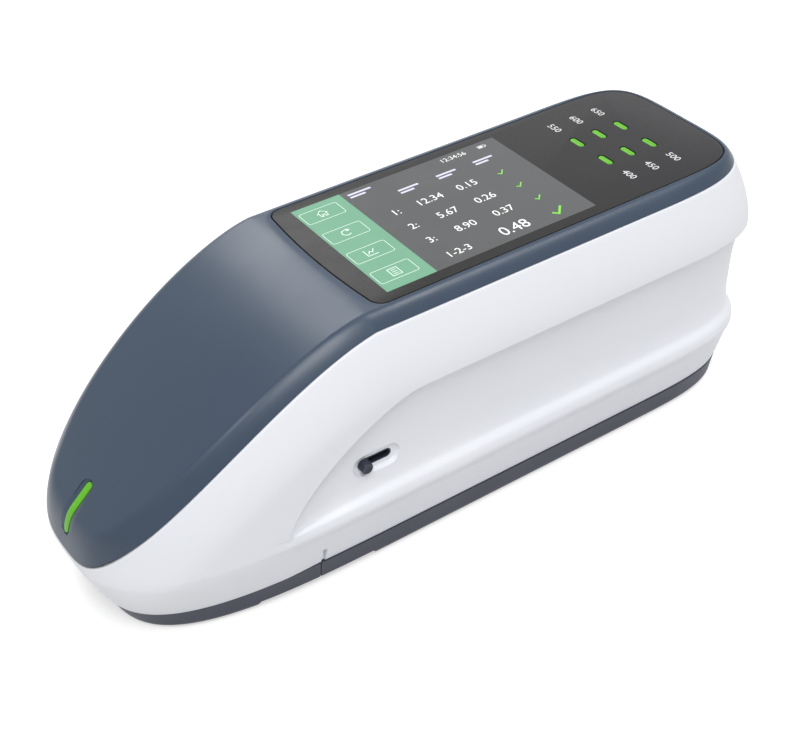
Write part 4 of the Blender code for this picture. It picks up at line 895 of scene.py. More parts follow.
class Rule(Graph):
    """A Geometry Nodes tree that repeats a part on points, and is turned into a plain mesh."""

    def __init__(self, name: str, sizes: Mapping[str, str]) -> None:
        """Starts the tree.

        Args:
            name: The tree's name.
            sizes: Types of its sizes by name.
        """
        super().__init__(bpy.data.node_groups.new(name, "GeometryNodeTree"))
        kinds = {"Geometry": "Geometry", "Part": "Object", **sizes, "Finish": "Material"}
        face = self.tree.interface
        self.ids = {
            label: face.new_socket(label, in_out="INPUT", socket_type=f"NodeSocket{kind}").identifier
            for label, kind in kinds.items()
        }
        face.new_socket("Geometry", in_out="OUTPUT", socket_type="NodeSocketGeometry")
        inputs = self.tree.nodes.new("NodeGroupInput")
        self.given = {label: Wire(self, inputs.outputs[label]) for label in kinds}

    def end(self, spots: Wire, scale: Reading) -> "Rule":
        """Sets the part on the points, realizes it, sets its material and closes the tree.

        Args:
            spots: The points.
            scale: Scale of the part.

        Returns:
            The same rule.
        """
        part = self.node("GeometryNodeObjectInfo", {}, {"Object": self.given["Part"]}, "Geometry")
        placed = self.node(
            "GeometryNodeInstanceOnPoints", {}, {"Points": spots, "Instance": part, "Scale": scale}
        )
        real = self.node("GeometryNodeRealizeInstances", {}, {0: placed})
        painted = self.node("GeometryNodeSetMaterial", {}, {0: real, "Material": self.given["Finish"]})
        self.node("NodeGroupOutput", {}, {0: painted})
        return self

    def grow(self, name: str, points: Sequence[Sequence[float]], part: Piece, **values: Any) -> Piece:
        """Runs the tree on a set of points.

        Args:
            name: The object's name.
            points: The points that the tree starts from.
            part: The part that is repeated, which is removed.
            values: The tree's other inputs, with underscores for spaces.

        Returns:
            A plain mesh object.
        """
        mesh = bpy.data.meshes.new(name)
        mesh.from_pydata([tuple(point) for point in points], [], [])
        made = linked(name, mesh)
        modifier = made.modifiers.new(name, "NODES")
        modifier.node_group = self.tree
        for label, value in {"Part": part, **values}.items():
            modifier[self.ids[label.replace("_", " ")]] = value
        evaluated(made)
        drop(part)
        return made


def spread_rule() -> Rule:
    """A tree that sets one part on every point, such as screws and feet."""
    rule = Rule("set_on_points", {"Scale": "Float"})
    return rule.end(rule.given["Geometry"], rule.given["Scale"])


def row_rule() -> Rule:
    """A tree that repeats one part in rows and columns, such as indicator lights and grip ribs.

    Returns:
        The tree.
    """
    rule = Rule("repeat_in_rows", {"Columns": "Int", "Rows": "Int", "Pitch": "Float", "Row Gap": "Float"})
    columns, rows = rule.given["Columns"], rule.given["Rows"]
    sizes = {"Size X": (columns - 1.0) * rule.given["Pitch"], "Size Y": (rows - 1.0) * rule.given["Row Gap"]}
    grid = rule.node("GeometryNodeMeshGrid", {}, {**sizes, "Vertices X": columns, "Vertices Y": rows})
    spots = rule.node(
        "GeometryNodeInstanceOnPoints", {}, {"Points": rule.given["Geometry"], "Instance": grid}
    )
    return rule.end(rule.node("GeometryNodeRealizeInstances", {}, {0: spots}), WHITE)


# --- The body's form ----------------------------------------------------------------------------


@dataclass(frozen=True)
class Grid:
    """Columns of the fine grid, from the nose tip round by -Y and back by +Y."""

    zone: np.ndarray
    ahead: np.ndarray
    aside: np.ndarray
    share: np.ndarray
    angle: np.ndarray
    side: np.ndarray


@dataclass(frozen=True)
class Form:
    """Sizes of the body, and the plan and heights that every outer piece follows."""

    length: float = 0.2320
    width: float = 0.0770
    height: float = 0.0850
    nose_span: float = 0.0900
    nose_power: float = 3.45
    rear_span: float = 0.0500
    rear_power: float = 4.0
    nose_columns: int = 112
    flank_columns: int = 34
    rear_columns: int = 48
    dense_from: float = 0.0450
    slope_start: float = 0.0826
    slope_run: float = 0.0717
    slope_fall: float = 0.0428
    slope_power: float = 1.52
    rim_drop: float = 0.0034
    rim_gain: float = 0.65
    rim_width: float = 0.0051
    rim_power: float = 1.6
    nose_rim_power: float = 3.5
    nose_rim_share: float = 0.5
    nose_dip: float = 0.0030
    nose_dip_half: float = 0.0260
    nose_corner_inset: float = 0.0008
    crown: float = 0.0005
    base_seam_z: float = 0.0090
    base_split: float = 0.0615
    ridge_low_z: float = 0.0215
    ridge_z: float = 0.0248
    ridge_top_z: float = 0.0275
    crease_z: float = 0.0612
    skirt_inset: float = 0.0038
    skirt_power: float = 1.1
    rear_skirt_inset: float = 0.0014
    rear_skirt_power: float = 2.2
    rear_tuck: float = 0.0010
    band_inset: float = 0.0046
    rear_band_inset: float = 0.0056
    band_rise: float = 0.0198
    band_power: float = 1.6
    chin_inset: float = 0.0053
    chin_top_z: float = 0.0220
    chin_power: float = 1.25
    lip: float = 0.0003

    @property
    def nose_x(self) -> float:
        """Place of the nose tip."""
        return -self.length / 2

    @property
    def rear_x(self) -> float:
        """Place of the rear end."""
        return self.length / 2

    @property
    def split_x(self) -> float:
        """Place of the joint between the two halves of the base."""
        return self.nose_x + self.base_split

    def _angles(self, span: float, power: float, steps: int, dense: float = math.inf) -> np.ndarray:
        """Angles that cut a quarter superellipse into even lengths.

        Args:
            span: Its reach along X.
            power: Its power.
            steps: Number of steps.
            dense: Distance from the tip past which the steps are half as long.

        Returns:
            The angles.
        """
        fine = smooth(np.linspace(0, 1, 6001)) * math.pi / 2
        x = span * np.clip(np.cos(fine), 0, 1) ** (2 / power)
        y = self.width / 2 * np.sin(fine) ** (2 / power)
        weight = np.where(span - x[1:] > dense, 2.0, 1.0)
        lengths = np.concatenate([[0.0], np.cumsum(np.hypot(np.diff(x), np.diff(y)) * weight)])
        return np.interp(np.linspace(0, lengths[-1], steps + 1), lengths, fine)

    @cached_property
    def grid(self) -> Grid:
        """The grid's columns.

        Returns:
            The measures of every column.
        """
        nose = self._angles(self.nose_span, self.nose_power, self.nose_columns, self.dense_from)
        rear = self._angles(self.rear_span, self.rear_power, self.rear_columns)[::-1]
        flank = np.arange(1, self.flank_columns) / self.flank_columns
        angle = np.concatenate([nose, np.full(len(flank), math.pi / 2), rear])
        zone = np.concatenate([np.zeros(len(nose)), np.ones(len(flank)), np.full(len(rear), 2)])
        share = np.concatenate([np.zeros(len(nose)), flank, np.zeros(len(rear))])
        power = np.where(zone == 2, self.rear_power, self.nose_power)
        ahead = np.clip(np.cos(angle), 0, 1) ** (2 / power)
        ahead[angle > math.pi / 2 - 1e-9] = 0.0
        right = Grid(zone, ahead, np.sin(angle) ** (2 / power), share, angle, np.ones(len(zone)))
        back = slice(len(zone) - 2, 0, -1)
        both = {name: np.concatenate([v, v[back]]) for name, v in vars(right).items() if name != "side"}
        return Grid(**both, side=np.concatenate([right.side, -right.side[back]]))

    def plan(
        self, side: Numbers = 0.0, nose: Numbers = 0.0, rear: Numbers = 0.0
    ) -> tuple[np.ndarray, np.ndarray]:
        """The body's plan at given insets.

        Args:
            side: Inset of the flanks.
            nose: Inset of the nose tip.
            rear: Inset of the rear end.

        Returns:
            The columns' points and their outward directions.
        """
        grid, half = self.grid, self.width / 2 - side
        nose_x, rear_x = self.nose_x + nose, self.rear_x - rear
        start, end = nose_x + self.nose_span, rear_x - self.rear_span
        zones = [grid.zone == 0, grid.zone == 1]
        x_nose = nose_x + self.nose_span * (1 - grid.ahead)
        x_rear = rear_x - self.rear_span * (1 - grid.ahead)
        x = np.select(zones, [x_nose, start + (end - start) * grid.share], x_rear)
        power = np.where(grid.zone == 2, self.rear_power, self.nose_power)
        reach = np.select(zones, [-self.nose_span, 1e9], self.rear_span)
        out_y = -(grid.aside ** (power - 1)) / half * grid.side
        out = np.column_stack([grid.ahead ** (power - 1) / reach, out_y])
        out /= np.linalg.norm(out, axis=1, keepdims=True)
        return np.column_stack([x, -half * grid.aside * grid.side]), out

    def run(self, x: Numbers) -> Numbers:
        """How far a place lies ahead of the flat part of the top."""
        return np.maximum(self.nose_x + self.slope_start - x, 0.0)

    def top(self, x: Numbers) -> Numbers:
        """Height of the top along the middle."""
        return self.height - self.slope_fall * (self.run(x) / self.slope_run) ** self.slope_power

    def under(self, x: Numbers) -> Numbers:
        """Height of the cover's underside.

        Args:
            x: Place along the body.

        Returns:
            The height.
        """
        steep = self.slope_power * self.slope_fall / self.slope_run
        steep = steep * (self.run(x) / self.slope_run) ** (self.slope_power - 1)
        return self.top(x) - self.rim_drop * (1 + self.rim_gain * steep)

    def seam(self, x: Numbers, y: Numbers) -> Numbers:
        """Height of the seam between cover and shell, which dips under the tip of the nose."""
        middle = np.maximum(1 - (y / self.nose_dip_half) ** 2, 0)
        return self.under(x) - self.nose_dip * np.where(x < self.nose_x + self.nose_dip_half, middle, 0) ** 2

    def skirt(self, z: Numbers) -> tuple[Numbers, Numbers]:
        """Insets of the flanks and of the rear at a height below the bead.

        Args:
            z: The height.

        Returns:
            The inset of the flanks and that of the rear.
        """
        share = np.maximum((self.ridge_z - z) / (self.ridge_z - self.base_seam_z), 0.0)
        tuck = self.rear_tuck * smooth((self.crease_z - z) / (self.crease_z - self.ridge_z))
        rear = self.rear_skirt_inset * share**self.rear_skirt_power + tuck
        return self.skirt_inset * share**self.skirt_power, rear

    def chin(self, z: Numbers) -> Numbers:
        """How far the nose draws back at a height under its tip."""
        share = np.maximum((self.chin_top_z - z) / (self.chin_top_z - self.base_seam_z), 0.0)
        return self.chin_inset * share**self.chin_power

    def corner(self, out: np.ndarray, z: Numbers) -> Numbers:
        """How far the nose's corners draw in, more towards the top.

        Args:
            out: Outward directions of the columns.
            z: Their heights.

        Returns:
            The distance for each column.
        """
        bend = np.maximum(-2 * out[:, 0] * np.abs(out[:, 1]), 0.0) ** 2
        rise = smooth((z - self.base_seam_z) / (self.chin_top_z - self.base_seam_z))
        return self.nose_corner_inset * bend * rise

    def skin(self, z: np.ndarray, groove: Numbers, seam: np.ndarray) -> np.ndarray:
        """A ring of the white shell.

        Args:
            z: Height of each column.
            groove: How far it is moved inwards.
            seam: Height of the seam over each column.

        Returns:
            The ring's points.
        """
        side, rear = self.skirt(z)
        band = np.maximum((z - seam + self.band_rise) / self.band_rise, 0.0) ** self.band_power
        side, rear = side + self.band_inset * band, rear + self.rear_band_inset * band
        point, out = self.plan(side, self.chin(z), rear)
        return raised(point - out * (groove + self.corner(out, z))[:, None], z)


FORM = Form()


def eased(
    keys_z: np.ndarray, keys_v: np.ndarray, counts: Sequence[int], corner: int
) -> list[tuple[np.ndarray, np.ndarray]]:
    """Runs a smooth curve without overshoot through the key levels of every column.

    Args:
        keys_z: Heights of the keys, one row for each column.
        keys_v: Values at the keys.
        counts: Number of steps between each two keys.
        corner: The key at which the curve has a corner.

    Returns:
        Pairs of height and value, one for each fine level.
    """
    step = np.diff(keys_z, axis=1)
    slope = np.diff(keys_v, axis=1) / step
    before, after = slope[:, :-1], slope[:, 1:]
    same = before * after > 0
    mean = np.where(same, 2 * before * after / np.where(same, before + after, 1.0), 0.0)
    start = np.column_stack([slope[:, :1], mean, slope[:, -1:]])
    end = start.copy()
    start[:, corner], end[:, corner] = slope[:, corner], slope[:, corner - 1]
    levels = []
    for k, count in enumerate(counts):
        for j in range(count + (k == len(counts) - 1)):
            t = j / count
            value = (2 * t**3 - 3 * t**2 + 1) * keys_v[:, k]
            value += (t**3 - 2 * t**2 + t) * step[:, k] * start[:, k]
            value += (3 * t**2 - 2 * t**3) * keys_v[:, k + 1] + (t**3 - t**2) * step[:, k] * end[:, k + 1]
            levels.append((keys_z[:, k] + step[:, k] * t, value))
    return levels


# --- Housing ------------------------------------------------------------------------------------


@dataclass(frozen=True)
class Opening:
    """An opening in the shell for a control, by the two coordinates of its middle in the wall's plane."""

    place: Pair
    size: Pair
    travel: float = 0.0

    @property
    def way(self) -> tuple[Pair, Pair]:
        """Size and middle of the slot that the control needs over its travel."""
        (along, up), (length, height) = self.place, self.size
        return (length + self.travel, height), (along + self.travel / 2, up)


@dataclass
class Housing:
    """The white shell: rounded upper band, hollow for the hand under an arch, bead and skirt."""

    wall: float = 0.0026
    recess_depth: float = 0.0033
    arch_tip: float = 0.0505
    arch_length: float = 0.0430
    arch_tip_z: float = 0.0290
    arch_power: float = 1.45
    fade: float = 0.0160
    fade_power: float = 0.62
    fan: float = 0.0220
    bead_step: float = 0.0006
    bead_inset: float = 0.0004
    recess_keys: tuple[Pair, ...] = ((0.10, 0.70), (0.30, 0.95), (0.60, 1.0), (0.88, 0.80), (0.965, 0.45))
    skirt_keys: tuple[float, ...] = (0.0, 0.30, 0.66)
    band_keys: tuple[float, ...] = (0.34, 0.62, 0.84, 1.0)
    counts: tuple[int, ...] = (3, 4, 4, 4, 5, 5, 6, 5, 5, 7, 6, 6, 6, 6, 5, 5)
    edge: float = 0.00022
    edge_share: float = 0.3
    inner_step: int = 5
    notch: tuple[float, float, float, float] = (0.0014, 0.0060, 0.0007, 0.0008)
    dish_depth: float = 0.0011
    dish_height: float = 0.0068
    dish_margin: float = 0.0024
    dish_flare: tuple[Pair, ...] = (
        (-OVERRUN, 0.0012), (-0.0003, 0.0004), (0.0002, 0.00012),
        (0.0006, 0.0), (0.0008, -0.0001), (0.0011, -0.0004),
    )
    slot_flare: tuple[Pair, ...] = ((0.0005, 0.0005), (0.00115, 0.0002), (0.0015, 0.0), (OVERRUN, 0.0))
    way_flare: tuple[Pair, ...] = (
        (-OVERRUN, GAP), (-0.0006, GAP), (-0.0001, GAP + 0.0003), (OVERRUN, GAP + 0.0012)
    )
    ports_z: float = 0.0440
    selector: Opening = Opening((FORM.nose_x + 0.0765, 0.0391), (0.0026, 0.0026), 0.0080)
    key: Opening = Opening((FORM.nose_x + 0.0930, 0.0440), (0.0240, 0.0100))
    power: Opening = Opening((0.0090, ports_z), (0.0060, 0.0034), 0.0030)
    socket: Opening = Opening((-0.0100, ports_z), (0.0090, 0.0032))
    boss: tuple[Pair, ...] = (
        (0.0018, 0.0049), (0.0031, 0.0049), (0.0032, 0.0052),
        (0.0032, 0.0196), (0.0030, 0.0200), (0.0018, 0.0200),
    )
    boss_reach: float = 0.0030
    rib_half: float = 0.0009
    rib_heights: Pair = (0.0120, 0.0198)
    rib_edge: float = 0.0002

    def arch(self, x: np.ndarray) -> np.ndarray:
        """Height of the crease over the hollow, which comes down in an arch to its tip.

        Args:
            x: Places along the body.

        Returns:
            The height at each place.
        """
        share = np.clip((FORM.nose_x + self.arch_tip + self.arch_length - x) / self.arch_length, 0.0, 1.0)
        drop = 1 - (1 - share**self.arch_power) ** (1 / self.arch_power)
        return FORM.crease_z - (FORM.crease_z - self.arch_tip_z) * drop

    def keys(self) -> tuple[np.ndarray, np.ndarray, np.ndarray]:
        """Key levels of every column.

        Returns:
            Their heights and groove depths, one row for each column, and the seam's heights.
        """
        x = FORM.plan()[0][:, 0]
        rim = FORM.plan(FORM.band_inset, 0.0, FORM.rear_band_inset)[0]
        seam = FORM.seam(rim[:, 0], rim[:, 1]) - GAP
        crease = np.minimum(self.arch(x), seam - FORM.band_rise * 0.1)
        behind = x - FORM.nose_x - self.arch_tip
        depth = self.recess_depth * np.clip(behind / self.fade, 0.0, 1.0) ** self.fade_power
        bead, flat = smooth(behind / self.fade + 0.5), np.zeros_like(x)
        foot, low, top = FORM.base_seam_z, FORM.ridge_low_z, FORM.ridge_top_z
        rises = [foot + (low - foot) * share for share in (*self.skirt_keys, 1.0)]
        levels = [(rise + flat, self.bead_step * bead) for rise in rises]
        levels += [(low + self.bead_step + flat, self.bead_inset * bead), (FORM.ridge_z + flat, flat)]
        levels += [(top + flat, self.bead_inset * bead)]
        levels += [(top + (crease - top) * up, depth * share) for up, share in self.recess_keys]
        levels += [(crease + (seam - crease) * share, flat) for share in (0.0, *self.band_keys)]
        fan = smooth(-behind / self.fan)[:, None]
        heights, grooves = (np.column_stack(values) for values in zip(*levels))
        even = foot + (seam - foot)[:, None] * np.arange(len(levels)) / (len(levels) - 1)
        return heights + (even - heights) * fan, grooves * (1 - fan), seam

    def rings(self) -> list[np.ndarray]:
        """The shell's rings.

        Returns:
            The rings, up its outside and down its inside.
        """
        heights, grooves, seam = self.keys()
        levels = eased(heights, grooves, self.counts, len(heights[0]) - 1 - len(self.band_keys))
        (foot_z, foot_in), (top_z, top_in) = levels[0], levels[-1]
        r, s = self.edge, self.edge * self.edge_share
        foot = [(foot_z, foot_in + r), (foot_z + s, foot_in + s), (foot_z + r, foot_in)]
        lip = [(top_z - r, top_in), (top_z - s, top_in + s), (top_z, top_in + r)]
        inner = [(z, groove + self.wall) for z, groove in levels[:: self.inner_step] + [levels[-1]]]
        return [FORM.skin(z, groove, seam) for z, groove in foot + levels[1:-1] + lip + inner[::-1]]

    def flank_y(self, x: float, z: float) -> float:
        """Distance of the shell's skin from the middle plane, on the straight flank.

        Args:
            x: Place along the body.
            z: Height.

        Returns:
            The distance.
        """
        heights, grooves, seam = self.keys()
        column = int(np.argmin(np.abs(FORM.plan()[0][: len(seam) // 2, 0] - x)))
        groove = np.interp(z, heights[column], grooves[column])
        return float(-FORM.skin(np.full(len(seam), z), groove, seam)[column, 1])

    def rear_face_x(self) -> float:
        """Place of the shell's skin at the middle of the rear end.

        Returns:
            The place.
        """
        _, grooves, seam = self.keys()
        column = len(seam) // 2
        return float(FORM.skin(np.full(len(seam), self.ports_z), grooves[column].max(), seam)[column, 0])

    def cutters(self) -> tuple[list[Piece], list[Piece]]:
        """Blocks for the openings.

        Returns:
            First the shallow ones, then the ones that pass through the wall.
        """
        size, middle = self.selector.way
        skin, rear = -self.flank_y(*self.selector.place), self.rear_face_x()
        dish = (size[0] + 2 * self.dish_margin, self.dish_height)
        shallow = [slot_block("dish", dish, self.dish_flare, Across.Y, middle, skin)]
        slots = [slot_block("slot", size, self.slot_flare, Across.Y, middle, skin)]
        for name, opening, face, across in (
            ("key_way", self.key, self.flank_y(*self.key.place), Across.Y),
            ("power_way", self.power, rear, Across.X),
            ("socket_way", self.socket, rear, Across.X),
        ):
            size, middle = opening.way
            slots.append(slot_block(name, size, self.way_flare, across, middle, face))
        width, rise, back, deep = self.notch
        start, foot = FORM.split_x + back - width / 2, self.flank_y(FORM.split_x, FORM.base_seam_z) - deep
        for side in (-1, 1):
            near, far = sorted((side * foot, side * (foot + OVERRUN)))
            low, high = FORM.base_seam_z - OVERRUN, FORM.base_seam_z + rise
            shallow.append(block(f"notch_{side}", (start, near, low), (start + width, far, high)))
        return shallow, slots

    def bosses(self) -> list[Piece]:
        """Screw bosses with their ribs, inside the shell.

        Returns:
            The bosses and ribs.
        """
        made, (low, high) = [], self.rib_heights
        for x, y in Fasteners().spots(Fasteners.screw_places):
            reach = self.flank_y(x, low) - self.wall / 2
            near, far = sorted((y + math.copysign(self.boss_reach, y), math.copysign(reach, y)))
            made.append(turned(f"boss_{x:.3f}_{y:.3f}", self.boss, 32, (x, y)))
            corners = (x - self.rib_half, near, low), (x + self.rib_half, far, high)
            made.append(block(f"rib_{x:.3f}_{y:.3f}", *corners, self.rib_edge))
        return made

    def build(self, finish: Paint) -> None:
        """Builds the shell.

        Args:
            finish: Its material.
        """
        shell = loft("housing_skin", self.rings(), closed=True)
        for cutters in self.cutters():
            carve(shell, *cutters)
        place_piece(joined("housing_skin_body", [shell, *self.bosses()]), Slot.SHELL, finish, "main_shell")


# --- Cover, light bar and glass -----------------------------------------------------------------


@dataclass(frozen=True)
class LightRows:
    """Places and sizes of the indicator lights."""

    front: float = 0.1855
    pitch: float = 0.00891
    row: float = 0.01313
    size: Pair = (0.0056, 0.0020)

    def spots(self) -> list[Pair]:
        """Centres of the lights, three along each of two rows."""
        x = FORM.nose_x + self.front
        return [(x + self.pitch * column, side * self.row / 2) for side in (-1, 1) for column in range(3)]

    def ways(self, name: str, low: float, high: float) -> list[Piece]:
        """Blocks for the lights' openings.

        Args:
            name: How the blocks' names start.
            low: Their lower ends.
            high: Their upper ends.

        Returns:
            The blocks.
        """
        size, ends = tuple(side + 2 * GAP for side in self.size), ((low, 0.0), (high, 0.0))
        return [
            slot_block(f"{name}_{index}", size, ends, Across.Z_TURNED, spot)
            for index, spot in enumerate(self.spots())
        ]


@dataclass
class TopCover:
    """The slate cover: crowned slope, rounded rim and the pocket for the glass, with the light bar."""

    rim_rings: int = 15
    slope_rings: int = 34
    rim_ease: float = 1.25
    blend: float = 0.0080
    edge: float = 0.00025
    under_shares: tuple[float, ...] = (1.0, 0.8, 0.6, 0.4, 0.25, 0.12, 0.04)
    floor_shares: tuple[float, ...] = (0.3, 0.65, 1.0)
    floor_ends: Pair = (0.012, 0.034)
    glass_thick: float = 0.0012
    glass_front: float = 0.0854
    glass_rear: float = 0.0106
    glass_half: float = 0.0281
    glass_span: float = 0.0370
    glass_power: float = 5.27
    glass_bow: float = 0.0019
    glass_corner: float = 0.0040
    bar_start: float = 0.0108
    bar_end_z: float = 0.0290
    bar_half: float = 0.0012
    bar_depth: float = 0.0018
    bar_sunk: float = 0.0001
    bar_edge: float = 0.00008
    bar_steps: int = 40
    bar_end_steps: int = 9
    dish_half: float = 0.0026
    dish_depth: float = 0.00035
    screen_front: float = 0.0926
    screen: Pair = (0.07344, 0.04896)
    window_border: float = 0.0029

    def glass_ring(self, margin: float) -> np.ndarray:
        """The glass's outline with one point for each column of the body's grid.

        Args:
            margin: Distance outside the glass's own edge.

        Returns:
            The points in plan.
        """
        grid, half, corner = FORM.grid, self.glass_half + margin, self.glass_corner + margin
        front, rear = FORM.nose_x + self.glass_front - margin, FORM.rear_x - self.glass_rear + margin
        y, flat = half * grid.aside, half - corner
        bow = front + self.glass_bow * (np.minimum(y, flat) / half) ** 2
        past = np.clip((y - flat) / corner, 0.0, 1.0)
        nose = bow + corner * (1 - np.sqrt(np.maximum(1 - past**2, 0.0)))
        start = front + self.glass_bow * (flat / half) ** 2 + corner
        ahead = np.clip(np.cos(grid.angle), 0, 1) ** (2 / self.glass_power)
        ahead[grid.aside > 1 - 1e-9] = 0.0
        end = rear - self.glass_span
        middle, tail = start + (end - start) * grid.share, end + self.glass_span * ahead
        x = np.select([grid.zone == 0, grid.zone == 1], [nose, middle], tail)
        y = np.where(grid.zone == 2, half * np.sin(grid.angle) ** (2 / self.glass_power), y)
        return np.column_stack([x, -y * grid.side])

    def surface(self) -> list[np.ndarray]:
        """The cover's outside.

        Returns:
            The rings from its seam up over the rim to the glass's pocket.
        """
        seam, out = FORM.plan(FORM.band_inset + FORM.lip, 0.0, FORM.rear_band_inset + FORM.lip)
        drop = FORM.top(seam[:, 0]) - FORM.seam(seam[:, 0], seam[:, 1])
        start = seam - out * FORM.corner(out, np.full(len(out), FORM.chin_top_z))[:, None]
        edge = self.glass_ring(GAP + self.edge)
        room = np.sum((start - edge) * out, axis=1)
        wide = np.minimum(FORM.rim_width, np.maximum(room, FORM.rim_width * 0.3))
        shoulder = start - out * wide[:, None]
        left = np.linalg.norm(edge - shoulder, axis=1)
        count = self.rim_rings + self.slope_rings
        first = self.rim_rings / count
        share = np.minimum(first + (1 - first) * np.exp(-left / self.blend), 0.9999)
        front = smooth((-out[:, 0] - FORM.nose_rim_share) / (1 - FORM.nose_rim_share))
        power = FORM.rim_power + (FORM.nose_rim_power - FORM.rim_power) * front
        order = np.argsort(shoulder[:, 0])
        rings = []
        for q in np.arange(count + 1) / count:
            over = np.minimum(q / share, 1.0)[:, None]
            along = np.maximum((q - share) / (1 - share), 0.0)[:, None]
            spot = start + (shoulder - start) * over**self.rim_ease + (edge - shoulder) * along
            inside = np.clip(np.sum((start - spot) * out, axis=1) / wide, 0.0, 1.0)
            half = np.interp(spot[:, 0], shoulder[order, 0], np.abs(shoulder[order, 1]))
            arch = np.clip(1 - (spot[:, 1] / np.maximum(half, 0.001)) ** 2, 0.0, 1.0) * (inside >= 1)
            crown = FORM.crown * np.clip(FORM.run(spot[:, 0]) / FORM.slope_run, 0, 1) * arch
            rings.append(raised(spot, FORM.top(spot[:, 0]) - drop * (1 - inside) ** power + crown))
        return rings

    def spine(self, ring: np.ndarray, front: float, rear: float) -> np.ndarray:
        """The places on the middle line that a ring closes to."""
        return np.column_stack([np.clip(ring[:, 0], front, rear), np.zeros(len(ring))])

    def rings(self) -> list[np.ndarray]:
        """All rings of the cover.

        Returns:
            The rings from the middle of its underside round to the pocket's floor.
        """
        outside, r, under = self.surface(), self.edge, []
        height, pocket = FORM.height, FORM.height - self.glass_thick - GAP
        foot, edge = outside[0][:, :2], self.glass_ring(GAP)
        middle = self.spine(foot, FORM.nose_x + FORM.rim_width * 2, FORM.rear_x - FORM.rear_span / 2)
        dip = FORM.under(foot[:, 0]) - outside[0][:, 2]
        for share in self.under_shares:
            spot = foot + (middle - foot) * share
            under.append(raised(spot, FORM.under(spot[:, 0]) - dip * (1 - share)))
        wall = [raised(self.glass_ring(GAP + r * 0.3), height - r * 0.3), raised(edge, height - r)]
        front, rear = self.floor_ends
        inner = self.spine(edge, FORM.nose_x + self.glass_front + front, FORM.rear_x - rear)
        floor = [raised(edge + (inner - edge) * share, pocket) for share in (0.0, *self.floor_shares)]
        return under + outside + wall + floor

    def bar_line(self) -> list[Vector]:
        """The nose's middle line in side view.

        Returns:
            Its points from the light bar's upper end to its lower one.
        """
        drop = float(FORM.top(FORM.nose_x) - FORM.seam(FORM.nose_x, 0.0))
        along = self.bar_start * (1 - np.linspace(0, 1, 1201)) ** 2
        share = np.minimum(along / FORM.rim_width, 1.0)
        z = FORM.top(FORM.nose_x + along) - drop * (1 - share) ** FORM.nose_rim_power
        kept = z >= self.bar_end_z
        x, z = FORM.nose_x + along[kept], z[kept]
        length = np.concatenate([[0.0], np.cumsum(np.hypot(np.diff(x), np.diff(z)))])
        even = np.linspace(0, length[-1], 60)
        return [Vector((float(np.interp(s, length, x)), 0.0, float(np.interp(s, length, z)))) for s in even]

    def bar_blank(self, name: str, half: float, section: Sequence[Pair], longer: float) -> Piece:
        """A strip along the nose's middle line with half-round ends in plan.

        Args:
            name: The object's name.
            half: Half its width.
            section: Share of the half width and height over the surface, from the left bottom corner round.
            longer: How much longer than the line it is at each end.

        Returns:
            The object.
        """
        line, turns = self.bar_line(), self.bar_end_steps
        first, last = (line[0] - line[1]).normalized(), (line[-1] - line[-2]).normalized()
        path = [line[0] + first * longer, *line[1:-1], line[-1] + last * longer]
        length = np.cumsum([0.0] + [(b - a).length for a, b in zip(path, path[1:])])
        spots = [half * (1 - math.cos(math.pi / 2 * k / turns)) for k in range(turns + 1)]
        ends = [length[-1] - spot for spot in spots[::-1]]
        rings = []
        for spot in spots + list(np.linspace(half, length[-1] - half, self.bar_steps)[1:-1]) + ends:
            k = max(min(int(np.searchsorted(length, spot, "right")) - 1, len(path) - 2), 0)
            point = path[k].lerp(path[k + 1], (spot - length[k]) / max(length[k + 1] - length[k], 1e-9))
            way = (path[min(k + 2, len(path) - 1)] - path[max(k - 1, 0)]).normalized()
            up = Vector((-way.z, 0.0, way.x))
            up = up if up.z > 0 or up.x < 0 else -up
            near = min(spot, length[-1] - spot)
            wide = math.sqrt(max(half**2 - max(half - near, 0.0) ** 2, (half * 0.03) ** 2))
            corners = [point + up * rise + Vector((0.0, side * wide, 0.0)) for side, rise in section]
            rings.append(np.array([tuple(corner) for corner in corners]))
        return loft(name, rings)

    def build(self, slate: Paint, green: Paint) -> None:
        """Builds the cover and its light bar.

        Args:
            slate: The cover's material.
            green: The light bar's material.
        """
        cover = weld(loft("cover_skin", self.rings()), FORM.crown / 100)
        margin = self.window_border + GAP
        front, half = FORM.nose_x + self.screen_front - margin, self.screen[1] / 2 + margin
        rear = FORM.nose_x + self.screen_front + self.screen[0] + margin
        low, high = FORM.height - FORM.rim_drop - OVERRUN, FORM.height + OVERRUN
        window = block("window_way", (front, -half, low), (rear, half, high))
        carve(cover, window, *LightRows().ways("light_way", low, high))
        half, deep, brim = self.bar_half, -self.bar_depth, 0.00005
        dish = [(-0.6, -self.dish_depth), (0.6, -self.dish_depth), (1, brim)]
        dish += [(1, OVERRUN), (-1, OVERRUN), (-1, brim)]
        way = [(-1, deep - GAP), (1, deep - GAP), (1, OVERRUN), (-1, OVERRUN)]
        carve(cover, self.bar_blank("bar_dish", self.dish_half, dish, 2 * GAP))
        carve(cover, self.bar_blank("bar_way", half + GAP, way, GAP))
        place_piece(cover, Slot.COVER, slate, "top_cover")
        face, side = -self.bar_sunk, -self.bar_sunk - self.bar_edge
        lens = [(-1, deep), (1, deep), (1, side), (0.8, face), (-0.8, face), (-1, side)]
        place_piece(self.bar_blank("nose_light_bar", half, lens, 0.0), Slot.LIGHT, green, "nose_light")


@dataclass(frozen=True)
class Line:
    """A drawn line of the screen, in millimetres about the middle of its sign."""

    name: str
    points: Sequence[Pair]
    wide: float
    closed: bool = False


